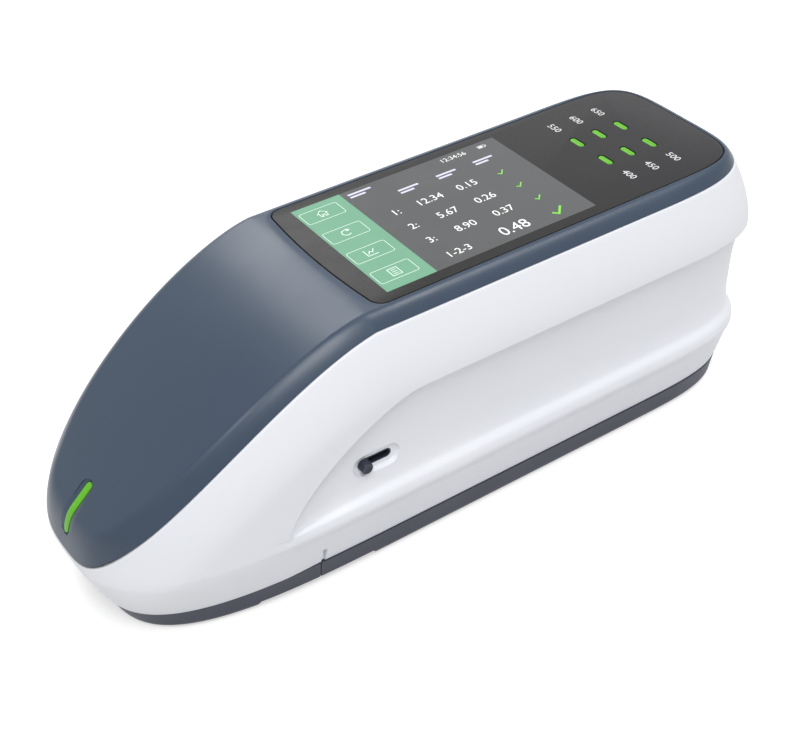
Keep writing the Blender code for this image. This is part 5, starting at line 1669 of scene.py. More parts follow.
@dataclass
class GlassPanel:
    """The flush cover glass with its screen picture, indicator lights and their numerals."""

    edge: float = 0.00022
    crisp: float = 50.0
    lens_depth: float = 0.0032
    film: float = 0.000012
    type_scale: float = 1.38
    band_wide: float = 16.6
    sign_u: float = 7.2
    sign_rows: tuple[float, ...] = (18.6, 6.2, -6.0, -17.6)
    frame_size: Pair = (12.6, 6.2)
    frame_corner: float = 0.7
    arrow_radius: float = 1.35
    arrow_ends: Pair = (0.9, 5.6)
    arrow_tip: tuple[Pair, ...] = ((0.9, -0.1), (-0.2, 0.8), (-0.3, -0.7))
    house: tuple[Pair, ...] = (
        (-1.7, 0.1), (0, 1.7), (1.7, 0.1), (1.1, 0.1), (1.1, -1.5), (0.4, -1.5), (0.4, -0.5), (-0.4, -0.5),
        (-0.4, -1.5), (-1.1, -1.5), (-1.1, 0.1)
    )
    numerals: tuple[tuple[str, float, float, float], ...] = (
        ("1:", 3.0, 24.6, 6.5), ("12.34", 3.05, 36.6, 6.5), ("0.15", 3.05, 50.2, 6.5),
        ("2:", 3.0, 24.6, -2.3), ("5.67", 3.05, 36.6, -2.3), ("0.26", 3.05, 50.2, -2.3),
        ("3:", 3.0, 24.6, -10.9), ("8.90", 3.05, 36.6, -10.9), ("0.37", 3.05, 50.2, -10.9),
        ("1-2-3", 2.9, 27.4, -20.0), ("0.48", 4.3, 47.2, -19.8), ("12:34:56", 2.0, 56.4, 21.8),
    )
    heading_places: tuple[tuple[float, float, float], ...] = (
        (22.4, 21.6, 8.0), (35.4, 15.0, 7.2), (49.2, 15.0, 7.2), (63.0, 15.0, 7.2)
    )
    tick_u: float = 62.7
    tick_places: tuple[Pair, ...] = ((6.3, 1.0), (-2.6, 1.0), (-11.3, 1.0), (-20.1, 1.7))
    tick: tuple[Pair, ...] = ((-1.2, 0.0), (-0.35, -0.85), (1.35, 1.0))
    label_size: float = 2.5
    label_shift: Pair = (-0.0002, 0.0108)
    cover: TopCover = field(default_factory=TopCover)
    rows: LightRows = LightRows()

    def glass(self) -> Piece:
        """The glass, with rounded edges and a window for each light.

        Returns:
            The glass.
        """
        top, under, r = FORM.height, FORM.height - self.cover.glass_thick, self.edge
        levels = [(-r, under), (-r * 0.3, under + r * 0.3), (0.0, under + r), (0.0, top - r)]
        levels += [(-r * 0.12, top - r * 0.5), (-r * 0.5, top - r * 0.12), (-r, top)]
        rings = [raised(self.cover.glass_ring(margin), z) for margin, z in levels]
        glass = weld(loft("glass_panel", rings, crisp=self.crisp))
        return carve(glass, *self.rows.ways("glass_way", under - OVERRUN, top + OVERRUN), crisp=self.crisp)

    def lights(self, finish: Paint) -> Piece:
        """The six lenses, each with a domed top over its light guide.

        Args:
            finish: Their material.

        Returns:
            The lenses as one piece.
        """
        low, top = FORM.height - self.cover.glass_thick - GAP - self.lens_depth, FORM.height
        levels = [(low, -0.0002), (low + 0.0002, 0.0), (top - 0.00022, 0.0), (top - 0.00012, -0.0001)]
        levels += [(top - 0.00004, -0.0003), (top, -0.0006), (top + FINE, -0.0009)]
        lens = slot_block("lens_pattern", self.rows.size, levels, Across.Z_TURNED, steps=10)
        centre = (FORM.nose_x + self.rows.front + self.rows.pitch, 0.0, 0.0)
        sizes = {"Columns": 3, "Rows": 2, "Pitch": self.rows.pitch, "Row_Gap": self.rows.row}
        return row_rule().grow("indicator_lenses", [centre], lens, **sizes, Finish=finish)

    def at(self, u: float, v: float) -> Pair:
        """A place in plan from a place on the screen, in millimetres from its front edge and middle."""
        return FORM.nose_x + self.cover.screen_front + u / 1000, v / 1000

    def sheet(self, name: str, outline: Sequence[Pair], layer: int) -> Piece:
        """A thin film on the glass, in the given layer from 1 up."""
        return prism(name, outline, FORM.height - self.film, FORM.height + self.film * layer)

    def panel(self, name: str, wide: float, layer: int) -> Piece:
        """A film over the whole height of the screen.

        Args:
            name: The object's name.
            wide: Its width in millimetres from the screen's front edge.
            layer: Its layer from 1 up.

        Returns:
            The film.
        """
        tall = self.cover.screen[1] * 500
        corners = ((0, -tall), (wide, -tall), (wide, tall), (0, tall))
        return self.sheet(name, [self.at(u, v) for u, v in corners], layer)

    def frame_line(self) -> list[Pair]:
        """The rounded frame of a key, in millimetres about its middle.

        Returns:
            The points of the frame's line.
        """
        (wide, tall), corner, points = self.frame_size, self.frame_corner, []
        for quarter, (sx, sy) in enumerate(((1, 1), (-1, 1), (-1, -1), (1, -1))):
            for k in range(7):
                angle = math.pi / 2 * (quarter + k / 6)
                points.append((sx * (wide / 2 - corner) + corner * math.cos(angle),
                               sy * (tall / 2 - corner) + corner * math.sin(angle)))
        return points

    def stroke(self, drawn: Line, centre: Pair = (0.0, 0.0)) -> Piece:
        """A drawn line on the screen.

        Args:
            drawn: The line.
            centre: Where its middle lies on the screen, in millimetres.

        Returns:
            The object.
        """
        line = [Vector(self.at(centre[0] + u, centre[1] + v)) for u, v in drawn.points]
        left, right = [], []
        for k, point in enumerate(line):
            before = line[k - 1] if k or drawn.closed else point
            after = line[(k + 1) % len(line)] if drawn.closed or k + 1 < len(line) else point
            ways = [(b - a).normalized() for a, b in ((before, point), (point, after)) if (b - a).length > 0]
            normals = [Vector((-way.y, way.x)) for way in ways]
            normal = sum(normals, Vector((0, 0))).normalized()
            reach = drawn.wide / 2000 / max(normal.dot(normals[0]), 0.5)
            left.append(tuple(point + normal * reach))
            right.append(tuple(point - normal * reach))
        if not drawn.closed:
            return self.sheet(drawn.name, left + right[::-1], 3)
        low, high = FORM.height - self.film, FORM.height + self.film * 3
        corners = ((left, low), (right, low), (right, high), (left, high))
        return loft(drawn.name, [raised(np.array(side), z) for side, z in corners], closed=True)

    def figures(self, text: str, size: float, place: Pair, turn: float = 0.0) -> Piece:
        """Plain numerals as thin raised print.

        Args:
            text: The numerals.
            size: Their height in millimetres.
            place: Their middle in plan.
            turn: Their turn in degrees.

        Returns:
            The object.
        """
        curve = bpy.data.curves.new(f"figures_{text}", "FONT")
        curve.body, curve.size = text, size / 1000 * self.type_scale
        curve.align_x = curve.align_y = "CENTER"
        curve.extrude, curve.resolution_u = self.film * 2, 3
        drawn = linked(curve.name, curve)
        mesh = bpy.data.meshes.new_from_object(drawn.evaluated_get(bpy.context.evaluated_depsgraph_get()))
        drop(drawn)
        spot = Matrix.Translation((*place, FORM.height + self.film))
        mesh.transform(spot @ Matrix.Rotation(math.radians(turn), 4, "Z"))
        return weld(linked(mesh.name, mesh), FINE / 50)

    def icons(self) -> list[Piece]:
        """The four key frames and their plain signs: a house, a turn arrow, a chart and a list.

        Returns:
            The frames and signs.
        """
        u, frame_line, r = self.sign_u, self.frame_line(), self.arrow_radius
        made = [
            self.stroke(Line(f"frame_{k}", frame_line, 0.16, True), (u, v))
            for k, v in enumerate(self.sign_rows)
        ]
        arc = [(r * math.cos(a), r * math.sin(a)) for a in np.linspace(*self.arrow_ends, 22)]
        signs = (
            (Line("house", self.house, 0.22, True),),
            (Line("turn_arrow", arc, 0.26),),
            (Line("chart_axes", ((-1.6, 1.6), (-1.6, -1.5), (1.8, -1.5)), 0.24),
             Line("chart_line", ((-1.0, -0.8), (-0.2, 0.5), (0.5, -0.3), (1.6, 1.3)), 0.24)),
            (Line("page", ((-1.5, 1.7), (1.5, 1.7), (1.5, -1.7), (-1.5, -1.7)), 0.22, True),
             *(Line(f"page_line_{k}", ((-0.9, 0.9 - 0.9 * k), (0.9, 0.9 - 0.9 * k)), 0.2) for k in range(3))),
        )
        for v, lines in zip(self.sign_rows, signs):
            made += [self.stroke(line, (u, v)) for line in lines]
            if lines is signs[1]:
                tip = [self.at(u + arc[0][0] + a, v + arc[0][1] + b) for a, b in self.arrow_tip]
                made.append(self.sheet("turn_tip", tip, 3))
        return made

    def readings(self) -> list[Piece]:
        """White numerals in rows, and the sign of a cell in the corner.

        Returns:
            The numerals and the parts of the sign.
        """
        made = [self.figures(text, size, self.at(u, v)) for text, size, u, v in self.numerals]
        cell = ((66.0, 22.5), (68.4, 22.5), (68.4, 21.2), (66.0, 21.2))
        tip, fill = ((68.7, 21.85), (69.0, 21.85)), ((66.3, 21.85), (67.7, 21.85))
        lines = (
            Line("cell_frame", cell, 0.16, True), Line("cell_tip", tip, 0.6), Line("cell_fill", fill, 0.8)
        )
        return made + [self.stroke(line) for line in lines]

    def headings(self) -> list[Piece]:
        """Two plain bars for each heading, the lower one shorter.

        Returns:
            The bars.
        """
        made = []
        for index, (u, v, wide) in enumerate(self.heading_places):
            for row in (0, 1):
                bar = Line(f"heading_{index}_{row}", ((0, 0), (wide * (1 - 0.34 * row), 0)), 0.80)
                made.append(self.stroke(bar, (u - wide / 2, v + 0.75 - 1.5 * row)))
        return made

    def ticks(self) -> list[Piece]:
        """Green ticks in the last column, the lowest one larger.

        Returns:
            The ticks.
        """
        made = []
        for k, (v, size) in enumerate(self.tick_places):
            line = Line(f"tick_{k}", [(a * size, b * size) for a, b in self.tick], 0.42 * size)
            made.append(self.stroke(line, (self.tick_u, v)))
        return made

    def labels(self) -> list[Piece]:
        """A plain numeral beside each indicator light.

        Returns:
            The numerals.
        """
        back, aside = self.label_shift
        return [
            self.figures(f"{k * 50 + 400}", self.label_size, (x + back, y + math.copysign(aside, y)), 270.0)
            for k, (x, y) in enumerate(self.rows.spots())
        ]

    def build(self, looks: Mapping[str, Paint]) -> None:
        """Builds the glass and everything on it.

        Args:
            looks: The materials by name.
        """
        place_piece(self.glass(), Slot.GLASS, looks["glass"], "cover_glass")
        nodes = [f"indicator_light_{k}" for k in range(1, 7)]
        place_piece(self.lights(looks["green"]), Slot.LIGHT, None, *nodes)
        for piece, finish in (
            (self.panel("screen_picture", self.cover.screen[0] * 1000, 1), "screen"),
            (self.panel("screen_key_band", self.band_wide, 2), "band"),
            (joined("screen_key_signs", self.icons()), "sign"),
            (joined("screen_readings", self.readings()), "white"),
            (joined("screen_headings", self.headings()), "heading"),
            (joined("screen_ticks", self.ticks()), "tick"),
        ):
            place_piece(piece, Slot.DISPLAY, looks[finish])
        place_piece(joined("light_numerals", self.labels()), Slot.GLASS, looks["print"])


# --- Base, lid, feet and screws -----------------------------------------------------------------


@dataclass
class Fasteners:
    """Case screws, rubber feet and the measuring port's ring."""

    foot_places: tuple[Pair, ...] = ((0.0280, 0.0190), (0.2080, 0.0270))
    screw_places: tuple[Pair, ...] = ((0.0360, 0.0245), (0.0880, 0.0284), (0.1960, 0.0270))
    foot_radius: float = 0.0040
    foot_thick: float = 0.0014
    head_radius: float = 0.0028
    head: float = 0.0014
    hexagon: float = 0.0012
    shank: float = 0.0015
    under: float = 0.0009
    tip_z: float = 0.0130
    turns: int = 17
    thread_pitch: float = 0.00055
    port_x: float = 0.0315
    port_radius: float = 0.0055
    ring_radius: float = 0.0140
    ring_step: float = 0.0020

    def spots(self, places: Sequence[Pair]) -> list[Pair]:
        """Centres of the feet or the screws, right and left."""
        return [(FORM.nose_x + x, side * y) for x, y in places for side in (-1, 1)]

    def screw(self) -> Piece:
        """One screw: chamfered head with a hex socket, neck and threaded shank.

        Returns:
            The screw, with its axis through the origin.
        """
        sides, r = 48, self.head_radius
        angle = np.arange(sides) * 2 * math.pi / sides
        reach = self.hexagon * math.cos(math.pi / 6) / np.cos((angle % (math.pi / 3)) - math.pi / 6)
        star = reach[:, None] * disc(1.0, sides)
        floor, wall = ((FINE, 0.0009), (0.0005, 0.00085)), ((1.0, 0.0008), (1.0, 0.0001), (1.08, 0.0))
        rings = [raised(disc(radius, sides), self.under + z) for radius, z in floor]
        rings += [raised(star * scale, self.under + z) for scale, z in wall]
        shape = [(0.0024, 0.0), (0.0027, 0.00012), (r, 0.0004), (r, 0.0013), (0.0027, 0.0014)]
        shape += [(self.shank, self.head), (self.shank, self.head + 0.0002)]
        for k in range(self.turns):
            z = self.head + 0.0005 + k * self.thread_pitch
            shape += [(self.shank, z), (self.shank * 0.80, z + self.thread_pitch / 2)]
        shape += [(self.shank * 0.5, self.tip_z - 0.0003 - self.under), (FINE, self.tip_z - self.under)]
        rings += [raised(disc(radius, sides), self.under + z) for radius, z in shape]
        return weld(loft("screw_pattern", rings), FINE / 2)

    def foot(self) -> Piece:
        """One foot: rounded rubber disc with a shallow ring groove.

        Returns:
            The foot, with its axis through the origin.
        """
        r, t = self.foot_radius, self.foot_thick
        profile = [(0.0, 0.00012), (0.0018, 0.00010), (0.0020, 0.00030), (0.0024, 0.00030), (0.0026, 0.0)]
        profile += [(r - 0.0006, 0.0), (r - 0.0002, 0.00012), (r, 0.0005), (r, t), (0.0, t)]
        return turned("foot_pattern", profile, 48)

    def port_ring(self) -> Piece:
        """The measuring port's ring, with a lip round its hole and a flange inside the base.

        Returns:
            The ring.
        """
        wide, hole, neck = self.ring_radius, self.port_radius, self.ring_radius - self.ring_step
        profile = [(hole, 0.0008), (hole + 0.0005, 0.00035), (hole + 0.0012, 0.0003), (neck - 0.0004, 0.0003)]
        profile += [(neck - 0.0001, 0.0004), (neck, 0.0007), (neck, 0.0049), (wide - 0.0002, 0.0049)]
        profile += [(wide, 0.0051), (wide, 0.0060), (wide - 0.0003, 0.0062)]
        profile += [(hole + 0.0003, 0.0052), (hole, 0.0050)]
        return turned("port_ring_turned", profile, 96, (FORM.nose_x + self.port_x, 0.0))

    def build(self, rubber: Paint, steel: Paint, dark: Paint) -> None:
        """Builds the feet, the screws and the port ring.

        Args:
            rubber: The feet's material.
            steel: The screws' material.
            dark: The port ring's material.
        """
        rule = spread_rule()
        for name, node, places, part, slot, finish in (
            ("rubber_feet", "rubber_foot", self.foot_places, self.foot(), Slot.RUBBER, rubber),
            ("case_screws", "case_screw", self.screw_places, self.screw(), Slot.STEEL, steel),
        ):
            spots = [(*spot, 0.0) for spot in self.spots(places)]
            nodes = [f"{node}_{k + 1}" for k in range(len(spots))]
            place_piece(rule.grow(name, spots, part, Scale=1.0, Finish=finish), slot, None, *nodes)
        place_piece(self.port_ring(), Slot.DARK, dark, "port_ring")


@dataclass
class Base:
    """The dark base in two trays, with the relief, the lid's channel and the battery bay."""

    foot_z: float = 0.0005
    floor_z: float = 0.0046
    wall: float = 0.0020
    step: float = 0.0004
    draft: float = 0.0007
    tuck: float = 0.0026
    fillet: float = 0.0024
    edge: float = 0.0002
    relief: tuple[float, float, float, float] = (0.0425, 0.0372, 0.0021, 0.0035)
    foot_seat: tuple[Pair, ...] = (
        (0.0, -OVERRUN), (0.0049, -OVERRUN), (0.0045, 0.0006),
        (0.0043, 0.0009), (0.0043, 0.0017), (0.0, 0.0017),
    )
    screw_seat: tuple[Pair, ...] = (
        (0.0, -OVERRUN), (0.0036, -OVERRUN), (0.0033, 0.0006), (0.0031, 0.0009),
        (0.0031, 0.0026), (0.0018, 0.0026), (0.0018, FORM.base_seam_z), (0.0, FORM.base_seam_z),
    )
    lid: tuple[float, float, float, float, float] = (0.0780, 0.0207, 0.0016, 0.0012, 0.0010)
    battery: tuple[float, float, float] = (0.0170, 0.0580, 0.0190)
    ribs: int = 4
    rib_pitch: float = 0.0022
    rib_size: Pair = (0.0160, 0.0009)
    rib_end: float = 0.0160
    rib_levels: tuple[Pair, ...] = ((-0.0035, 0.0008), (-0.0001, 0.00012), (0.0002, 0.0), (0.0005, -0.00015))
    arrow_ahead: float = 0.0110
    arrow: tuple[Pair, ...] = ((-0.0016, 0.0030), (0.0024, 0.0), (-0.0016, -0.0030))
    fast: Fasteners = field(default_factory=Fasteners)

    def ring(self, z: float, extra: float) -> np.ndarray:
        """A ring of the tray.

        Args:
            z: Its height.
            extra: Its inset from the tray's skin.

        Returns:
            The ring's points.
        """
        tuck = self.tuck * (FORM.base_seam_z - z) / (FORM.base_seam_z - self.foot_z)
        side, rear = FORM.skirt_inset, FORM.rear_tuck + FORM.rear_skirt_inset
        insets = (side, FORM.chin_inset + tuck, rear)
        return raised(FORM.plan(*(inset + self.step + extra for inset in insets))[0], z)

    def tray(self, name: str) -> Piece:
        """The whole tray: outer wall, rounded lower edge and a flat floor.

        Args:
            name: The object's name.

        Returns:
            The object.
        """
        top = FORM.base_seam_z - GAP
        levels = [(self.floor_z, self.wall + self.draft), (top, self.wall)]
        levels += [(top, self.edge), (top - self.edge, 0.0)]
        for angle in np.arange(9) * math.pi / 16:
            inset = self.draft + self.fillet * 0.8 * (1 - math.cos(angle))
            levels.append((self.foot_z + self.fillet * (1 - math.sin(angle)), inset))
        return loft(name, [self.ring(z, extra) for z, extra in levels])

    def relief_block(self, name: str) -> Piece:
        """The shallow relief across the underside, with sloping ends.

        Args:
            name: The object's name.

        Returns:
            The object.
        """
        start, length, depth, run = self.relief
        start, end = FORM.nose_x + start, FORM.nose_x + start + length
        low, high = self.foot_z - depth, self.foot_z + depth
        outline = ((start - run, low), (end + run, low), (end, high), (start, high))
        return prism(name, outline, -FORM.width, FORM.width, Across.Y)

    def seats(self, low_x: float, high_x: float) -> list[Piece]:
        """Blocks for the seats of the feet and screws in one tray.

        Args:
            low_x: The tray's front end.
            high_x: Its rear end.

        Returns:
            The blocks.
        """
        return [
            turned(f"{name}_{index}", profile, sides, spot)
            for name, places, profile, sides in (
                ("foot_seat", self.fast.foot_places, self.foot_seat, 48),
                ("screw_seat", self.fast.screw_places, self.screw_seat, 40),
            )
            for index, spot in enumerate(self.fast.spots(places))
            if low_x < spot[0] < high_x
        ]

    def channel(self, name: str, margin: float) -> list[Piece]:
        """The lid's stepped section.

        Args:
            name: How the blocks' names start.
            margin: How far they reach past the lid.

        Returns:
            The slab and the tongues as two blocks.
        """
        length, half, tongue, skin, thick = self.lid
        front = FORM.rear_x - FORM.rear_tuck - FORM.rear_skirt_inset - length - margin
        low, step, half = self.foot_z - (OVERRUN if margin else 0.0), self.foot_z + skin, half + margin
        wide, top = half + tongue, step + thick + margin
        return [
            block(name, (front, -half, low), (FORM.length, half, step + GAP)),
            block(f"{name}_tongue", (front, -wide, step - margin), (FORM.length, wide, top)),
        ]

    def half(self, name: str, keep_rear: bool, *cutters: Piece) -> Piece:
        """One half of the base.

        Args:
            name: The object's name.
            keep_rear: Whether it is the half behind the joint.
            cutters: Blocks for its openings besides the seats.

        Returns:
            The object.
        """
        split, ends = FORM.split_x, (FORM.nose_x, FORM.split_x)
        low_x, high_x = split - GAP / 2, FORM.length
        if keep_rear:
            low_x, high_x, ends = -FORM.length, split + GAP / 2, (split, FORM.rear_x)
        tray = self.tray(name)
        carve(tray, block(f"{name}_end", (low_x, -FORM.width, -OVERRUN), (high_x, FORM.width, FORM.height)))
        carve(tray, self.relief_block(f"{name}_relief"))
        return carve(tray, *self.seats(*ends), *cutters)

    def build(self, finish: Paint) -> None:
        """Builds both trays and the lid.

        Args:
            finish: Their material.
        """
        ring, top = self.fast.ring_radius + GAP - self.fast.ring_step, FORM.base_seam_z
        profile = [(0.0, -OVERRUN), (ring + 0.0008, -OVERRUN), (ring + 0.0003, 0.0006), (ring, 0.0009)]
        profile += [(ring, top), (0.0, top)]
        port_way = turned("port_way", profile, 96, (FORM.nose_x + self.fast.port_x, 0.0))
        place_piece(self.half("base_nose", False, port_way), Slot.BASE, finish, "nose_base")
        plate = self.half("base_rear", True)
        for cutter in self.channel("lid_way", GAP):
            carve(plate, cutter)
        back, length, half = self.battery
        rear, half = FORM.rear_x - back + GAP, half + GAP
        bay = block("battery_way", (rear - length - 2 * GAP, -half, self.foot_z), (rear, half, FORM.height))
        place_piece(carve(plate, bay), Slot.BASE, finish, "base_plate")
        self.build_lid(finish)

    def build_lid(self, finish: Paint) -> None:
        """Builds the sliding battery lid, with its grip ribs and a slide arrow.

        Args:
            finish: Its material.
        """
        lid, tongue = self.channel("battery_lid_slab", 0.0)
        carve(lid, tongue, cut=Cut.JOIN)
        carve(lid, self.tray("lid_limit"), cut=Cut.LIMIT)
        middle = FORM.rear_x - self.rib_end - self.rib_pitch * (self.ribs - 1) / 2
        shape = self.rib_size, self.rib_levels, Across.Z_TURNED
        groove = slot_block("rib_pattern", *shape, start=self.foot_z, steps=6)
        sizes = {"Columns": self.ribs, "Rows": 1, "Pitch": self.rib_pitch, "Row_Gap": 0.0}
        grooves = row_rule().grow("rib_grooves", [(middle, 0.0, 0.0)], groove, **sizes, Finish=finish)
        arrow = [(middle - self.arrow_ahead + x, y) for x, y in self.arrow]
        carve(lid, grooves, prism("slide_arrow", arrow, -0.0020, self.foot_z + 0.0003))
        place_piece(lid, Slot.BASE, finish, "battery_lid", body=Body.BATTERY_LID)


# --- Moving controls ----------------------------------------------------------------------------


@dataclass
class Controls:
    """The aperture selector, the measure key and the power slider, with the charging socket."""

    knob_radius: float = 0.0019
    knob_proud: float = 0.0029
    stem_radius: float = 0.0009
    plate: Pair = (0.0009, 0.0030)
    plate_edge: float = 0.00015
    liner: Pair = (0.00020, -0.00022)
    key_proud: float = 0.0012
    power_proud: float = 0.0008
    rear_bow: float = 0.0005
    flange: Pair = (0.0008, 0.0012)
    grips: int = 3
    grip_pitch: float = 0.0012
    socket_depth: float = 0.0050
    contacts: int = 9
    contact_pitch: float = 0.0005
    housing: Housing = field(default_factory=Housing)

    def build_selector(self, dark: Paint) -> None:
        """Builds the selector's knob, stem and slide plate, and the liner of its slot.

        Args:
            dark: Their material.
        """
        house, opening, r = self.housing, self.housing.selector, self.knob_radius
        (x, z), (size, middle), (thick, tall) = opening.place, opening.way, self.plate
        skin = -house.flank_y(x, z)
        outer, floor = skin + house.wall + GAP, skin + house.dish_depth
        corners = (x - size[0], outer, z - tall), (x + size[0], outer + thick, z + tall)
        plate = block("slide_plate", *corners, self.plate_edge)
        face, stem = floor - self.knob_proud, self.stem_radius
        profile = [(0.0, outer + 0.0005), (stem, outer + 0.0005), (stem, floor - 0.0002)]
        profile += [(r - 0.0002, floor - 0.0002), (r, floor - 0.0004), (r * 0.95, face + 0.0004)]
        profile += [(r * 0.90, face + 0.00015), (r * 0.80, face), (r * 0.62, face + 0.00004)]
        profile += [(r * 0.5, face + 0.00018), (0.0, face + 0.00024)]
        carve(plate, turned("knob", profile, 48, (x, z), Across.Y), cut=Cut.JOIN)
        place_piece(plate, Slot.DARK, dark, "selector_knob", body=Body.SELECTOR)
        (wide, inside), deep, back = self.liner, house.dish_depth, house.wall - FINE
        levels = [(deep - 0.00004, wide), (deep + 0.0004, -FINE), (back, -FINE), (back, inside)]
        levels += [(deep - 0.00004, inside)]
        liner = slot_block("slot_liner", size, levels, Across.Y, middle, skin, closed=True)
        place_piece(liner, Slot.DARK, dark)

    def build_key(self, dark: Paint) -> None:
        """Builds the measure key, dished for the thumb and rounded at its edge.

        Args:
            dark: Its material.
        """
        house, opening = self.housing, self.housing.key
        skin = house.flank_y(*opening.place)
        face, inside = skin + self.key_proud, skin - house.wall - 2 * GAP
        levels = [(inside - 0.0010, 0.0012), (inside - 0.0008, 0.0014), (inside - 0.0002, 0.0014)]
        levels += [(inside, 0.0012), (inside, 0.0), (face - 0.0006, 0.0), (face - 0.00018, -0.00018)]
        levels += [(face, -0.0006), (face, -0.0011), (face - 0.00015, -0.0018), (face - 0.00035, -0.0030)]
        levels += [(face - 0.00045, -0.0042)]
        key = slot_block("thumb_key", opening.size, levels, Across.Y, opening.place, steps=20)
        place_piece(key, Slot.DARK, dark, "measure_key", body=Body.MEASURE_KEY)

    def build_slider(self, dark: Paint) -> None:
        """Builds the power slider with its grip ribs.

        Args:
            dark: Its material.
        """
        opening, (thick, margin) = self.housing.power, self.flange
        y, z = opening.place
        skin = self.housing.rear_face_x()
        inside, face = skin - self.housing.wall - GAP - self.rear_bow, skin + self.power_proud
        levels = [(inside - 0.0004, 0.0), (face - 0.0003, 0.0), (face - 0.0001, -0.0001), (face, -0.0004)]
        slider = slot_block("power_grip", opening.size, levels, Across.X, (y, z))
        ends = [(inside - thick, margin), (inside, margin)]
        carve(slider, slot_block("power_flange", opening.way[0], ends, Across.X, (y, z)), cut=Cut.JOIN)
        grooves = []
        for k in range(self.grips):
            start = y - 0.0014 + k * self.grip_pitch
            low, high = (face - 0.0003, start, z - 0.0011), (face + 0.001, start + 0.0004, z + 0.0011)
            grooves.append(block(f"grip_{k}", low, high))
        place_piece(carve(slider, *grooves), Slot.DARK, dark, "power_slider", body=Body.POWER_SLIDER)

    def build_socket(self, steel: Paint) -> None:
        """Builds the charging socket, with its tongue and contacts.

        Args:
            steel: Its material.
        """
        (y, z), (length, height) = self.housing.socket.place, self.housing.socket.size
        face = self.housing.rear_face_x() - self.rear_bow
        back = face - self.housing.wall - 2 * GAP - self.flange[0] - self.socket_depth
        levels = [(back, 0.0), (face - 0.0002, 0.0), (face, -0.0001), (face, -0.00022)]
        levels += [(face - 0.0002, -0.0003), (face - 0.0074, -0.0003)]
        shell = slot_block("socket_shell", (length, height), levels, Across.X, (y, z))
        half, thin = (length - height) / 2, 0.00035
        corners = (face - 0.0078, y - half, z - thin), (face - 0.0016, y + half, z + thin)
        tongue = block("tongue", *corners, 0.0001)
        place_piece(joined("charging_socket_shell", [shell, tongue]), Slot.STEEL, steel, "charging_socket")
        pad = block("pad_pattern", (-0.0021, -0.00012, -FINE), (0.0, 0.00012, 3 * FINE), FINE)
        sizes = {"Columns": 1, "Rows": self.contacts, "Pitch": 0.0, "Row_Gap": self.contact_pitch}
        pads = row_rule().grow("socket_contacts", [(face - 0.0020, y, z + thin)], pad, **sizes, Finish=steel)
        place_piece(pads, Slot.STEEL, None)


# --- Inside and studio --------------------------------------------------------------------------


@dataclass
class Inside:
    """The carried-over pieces inside, each given the material that the real one has."""

    groups: dict[str, tuple[str, ...]] = field(default_factory=lambda: {
        "coating": ("sphere_lower", "sphere_upper"),
        "aluminium": ("lamp_housing", "optics_deck", "fold_mirror", "lens_rail", "spectrometer_body",
                      "spectrometer_lid", "selector_arm"),
        "dark": ("lens_barrel", "key_switch", "sounder"),
        "optic": ("focus_lens", "grating_block"),
        "board": ("nose_lamp_board", "sensor_board", "key_board", "rear_board", "main_board"),
        "steel": ("power_switch_body",),
        "battery": ("battery_pack",),
        "screen": ("display_module",),
    })

    def build(self, looks: Mapping[str, Paint]) -> None:
        """Dresses the pieces inside.

        Args:
            looks: The materials by name.
        """
        for finish, names in self.groups.items():
            for name in names:
                for spot in frame["nodes"][name].material_slots:
                    spot.material = looks[finish]
                LOG.info("%s: dressed in %s", name, finish)


@dataclass(frozen=True)
class Lamp:
    """A square soft lamp that points at the object: its place in metres, its side and its watts."""

    name: str
    place: tuple[float, float, float]
    size: float
    power: float


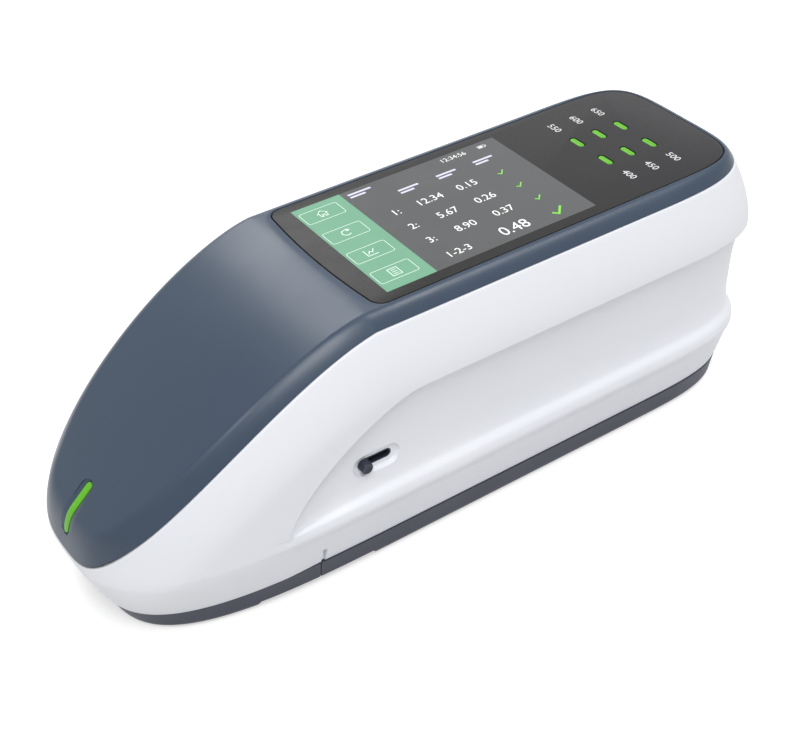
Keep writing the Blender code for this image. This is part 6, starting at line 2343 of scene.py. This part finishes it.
@dataclass
class Studio:
    """Pale floor, soft lamps, white surround and the camera."""

    camera_place: tuple[float, float, float] = (-0.2037, -0.2913, 0.3137)
    azimuth: float = -34.568
    elevation: float = 38.367
    roll: float = 0.914
    lens: float = 66.56
    surround: float = 0.28
    floor_lift: float = 0.50
    floor_tone: Colour = (0.62, 0.62, 0.62)
    aim: tuple[float, float, float] = (0.0, 0.0, 0.04)
    lamps: tuple[Lamp, ...] = (
        Lamp("key_lamp", (-0.45, -0.9, 1.7), 1.0, 25.0),
        Lamp("back_lamp", (0.2, 1.35, 1.45), 1.0, 15.0),
        Lamp("top_lamp", (0.9, -0.25, 1.8), 0.5, 8.0),
        Lamp("edge_lamp", (-1.3, -0.24, 1.5), 0.3, 4.0),
    )

    def camera(self) -> None:
        """Sets the camera at the photograph's viewing angle."""
        a, e, r = (math.radians(angle) for angle in (self.azimuth, self.elevation, self.roll))
        forward = -Vector((math.sin(a) * math.cos(e), -math.cos(a) * math.cos(e), math.sin(e)))
        right = forward.cross(Vector((0, 0, 1))).normalized()
        down = forward.cross(right)
        turned_right = right * math.cos(r) + down * math.sin(r)
        turned_down = down * math.cos(r) - right * math.sin(r)
        data = bpy.data.cameras.new("camera")
        data.lens, data.sensor_width, data.clip_start, data.clip_end = self.lens, 36.0, 0.01, 20.0
        camera = linked("camera", data)
        turn = Matrix((turned_right, -turned_down, -forward)).transposed().to_4x4()
        camera.matrix_world = Matrix.Translation(self.camera_place) @ turn
        bpy.context.scene.camera = camera

    def light(self) -> None:
        """Hangs the lamps."""
        for lamp in self.lamps:
            data = bpy.data.lights.new(lamp.name, "AREA")
            data.shape, data.size, data.energy = "SQUARE", lamp.size, lamp.power
            hung = linked(lamp.name, data)
            hung.location = lamp.place
            hung.rotation_euler = (Vector(self.aim) - Vector(lamp.place)).to_track_quat("-Z", "Y").to_euler()

    def world(self) -> None:
        """Lights the scene evenly and shows white behind it."""
        world = bpy.data.worlds.new("surround")
        world.use_nodes = True
        bpy.context.scene.world = world
        graph = Graph(world.node_tree)
        graph.tree.nodes.clear()
        soft, white = (
            graph.node("ShaderNodeBackground", {}, {"Color": WHITE, "Strength": strength})
            for strength in (self.surround, 1.0)
        )
        either = graph.node("ShaderNodeMixShader", {}, {0: graph.white_rays(), 1: soft, 2: white})
        graph.node("ShaderNodeOutputWorld", {}, {"Surface": either})

    def floor(self) -> None:
        """Lays a pale floor, lifted to white for the camera but still taking the object's shadow."""
        mesh = bpy.data.meshes.new("floor")
        mesh.from_pydata([(-1, -1, 0), (1, -1, 0), (1, 1, 0), (-1, 1, 0)], [], [(0, 1, 2, 3)])
        graph = SurfaceGraph("pale_floor")
        graph.set(Base_Color=self.floor_tone, Roughness=0.9, Specular_IOR_Level=0.1)
        plain = Wire(graph, graph.shader.outputs[0])
        lift = graph.node("ShaderNodeEmission", {}, {"Strength": self.floor_lift})
        lifted = graph.node("ShaderNodeAddShader", {}, {0: plain, 1: lift})
        either = graph.node("ShaderNodeMixShader", {}, {0: graph.white_rays(), 1: plain, 2: lifted})
        graph.feed(graph.tree.nodes["Material Output"].inputs["Surface"], either)
        mesh.materials.append(graph.material)
        linked("floor", mesh)

    def build(self) -> None:
        """Builds the studio."""
        bpy.context.scene.view_settings.view_transform = "Standard"
        self.camera()
        self.world()
        self.floor()
        self.light()


def main() -> None:
    """Builds the pieces in order and hands them to the frame."""
    logging.basicConfig(level=logging.INFO, format="%(message)s")
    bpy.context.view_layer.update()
    looks = finishes()
    Studio().build()
    Housing().build(looks["shell"])
    TopCover().build(looks["slate"], looks["green"])
    GlassPanel().build(looks)
    Base().build(looks["base"])
    Fasteners().build(looks["rubber"], looks["steel"], looks["dark"])
    controls = Controls()
    controls.build_selector(looks["dark"])
    controls.build_key(looks["dark"])
    controls.build_slider(looks["dark"])
    controls.build_socket(looks["steel"])
    Inside().build(looks)


if __name__ == "__main__":
    main()
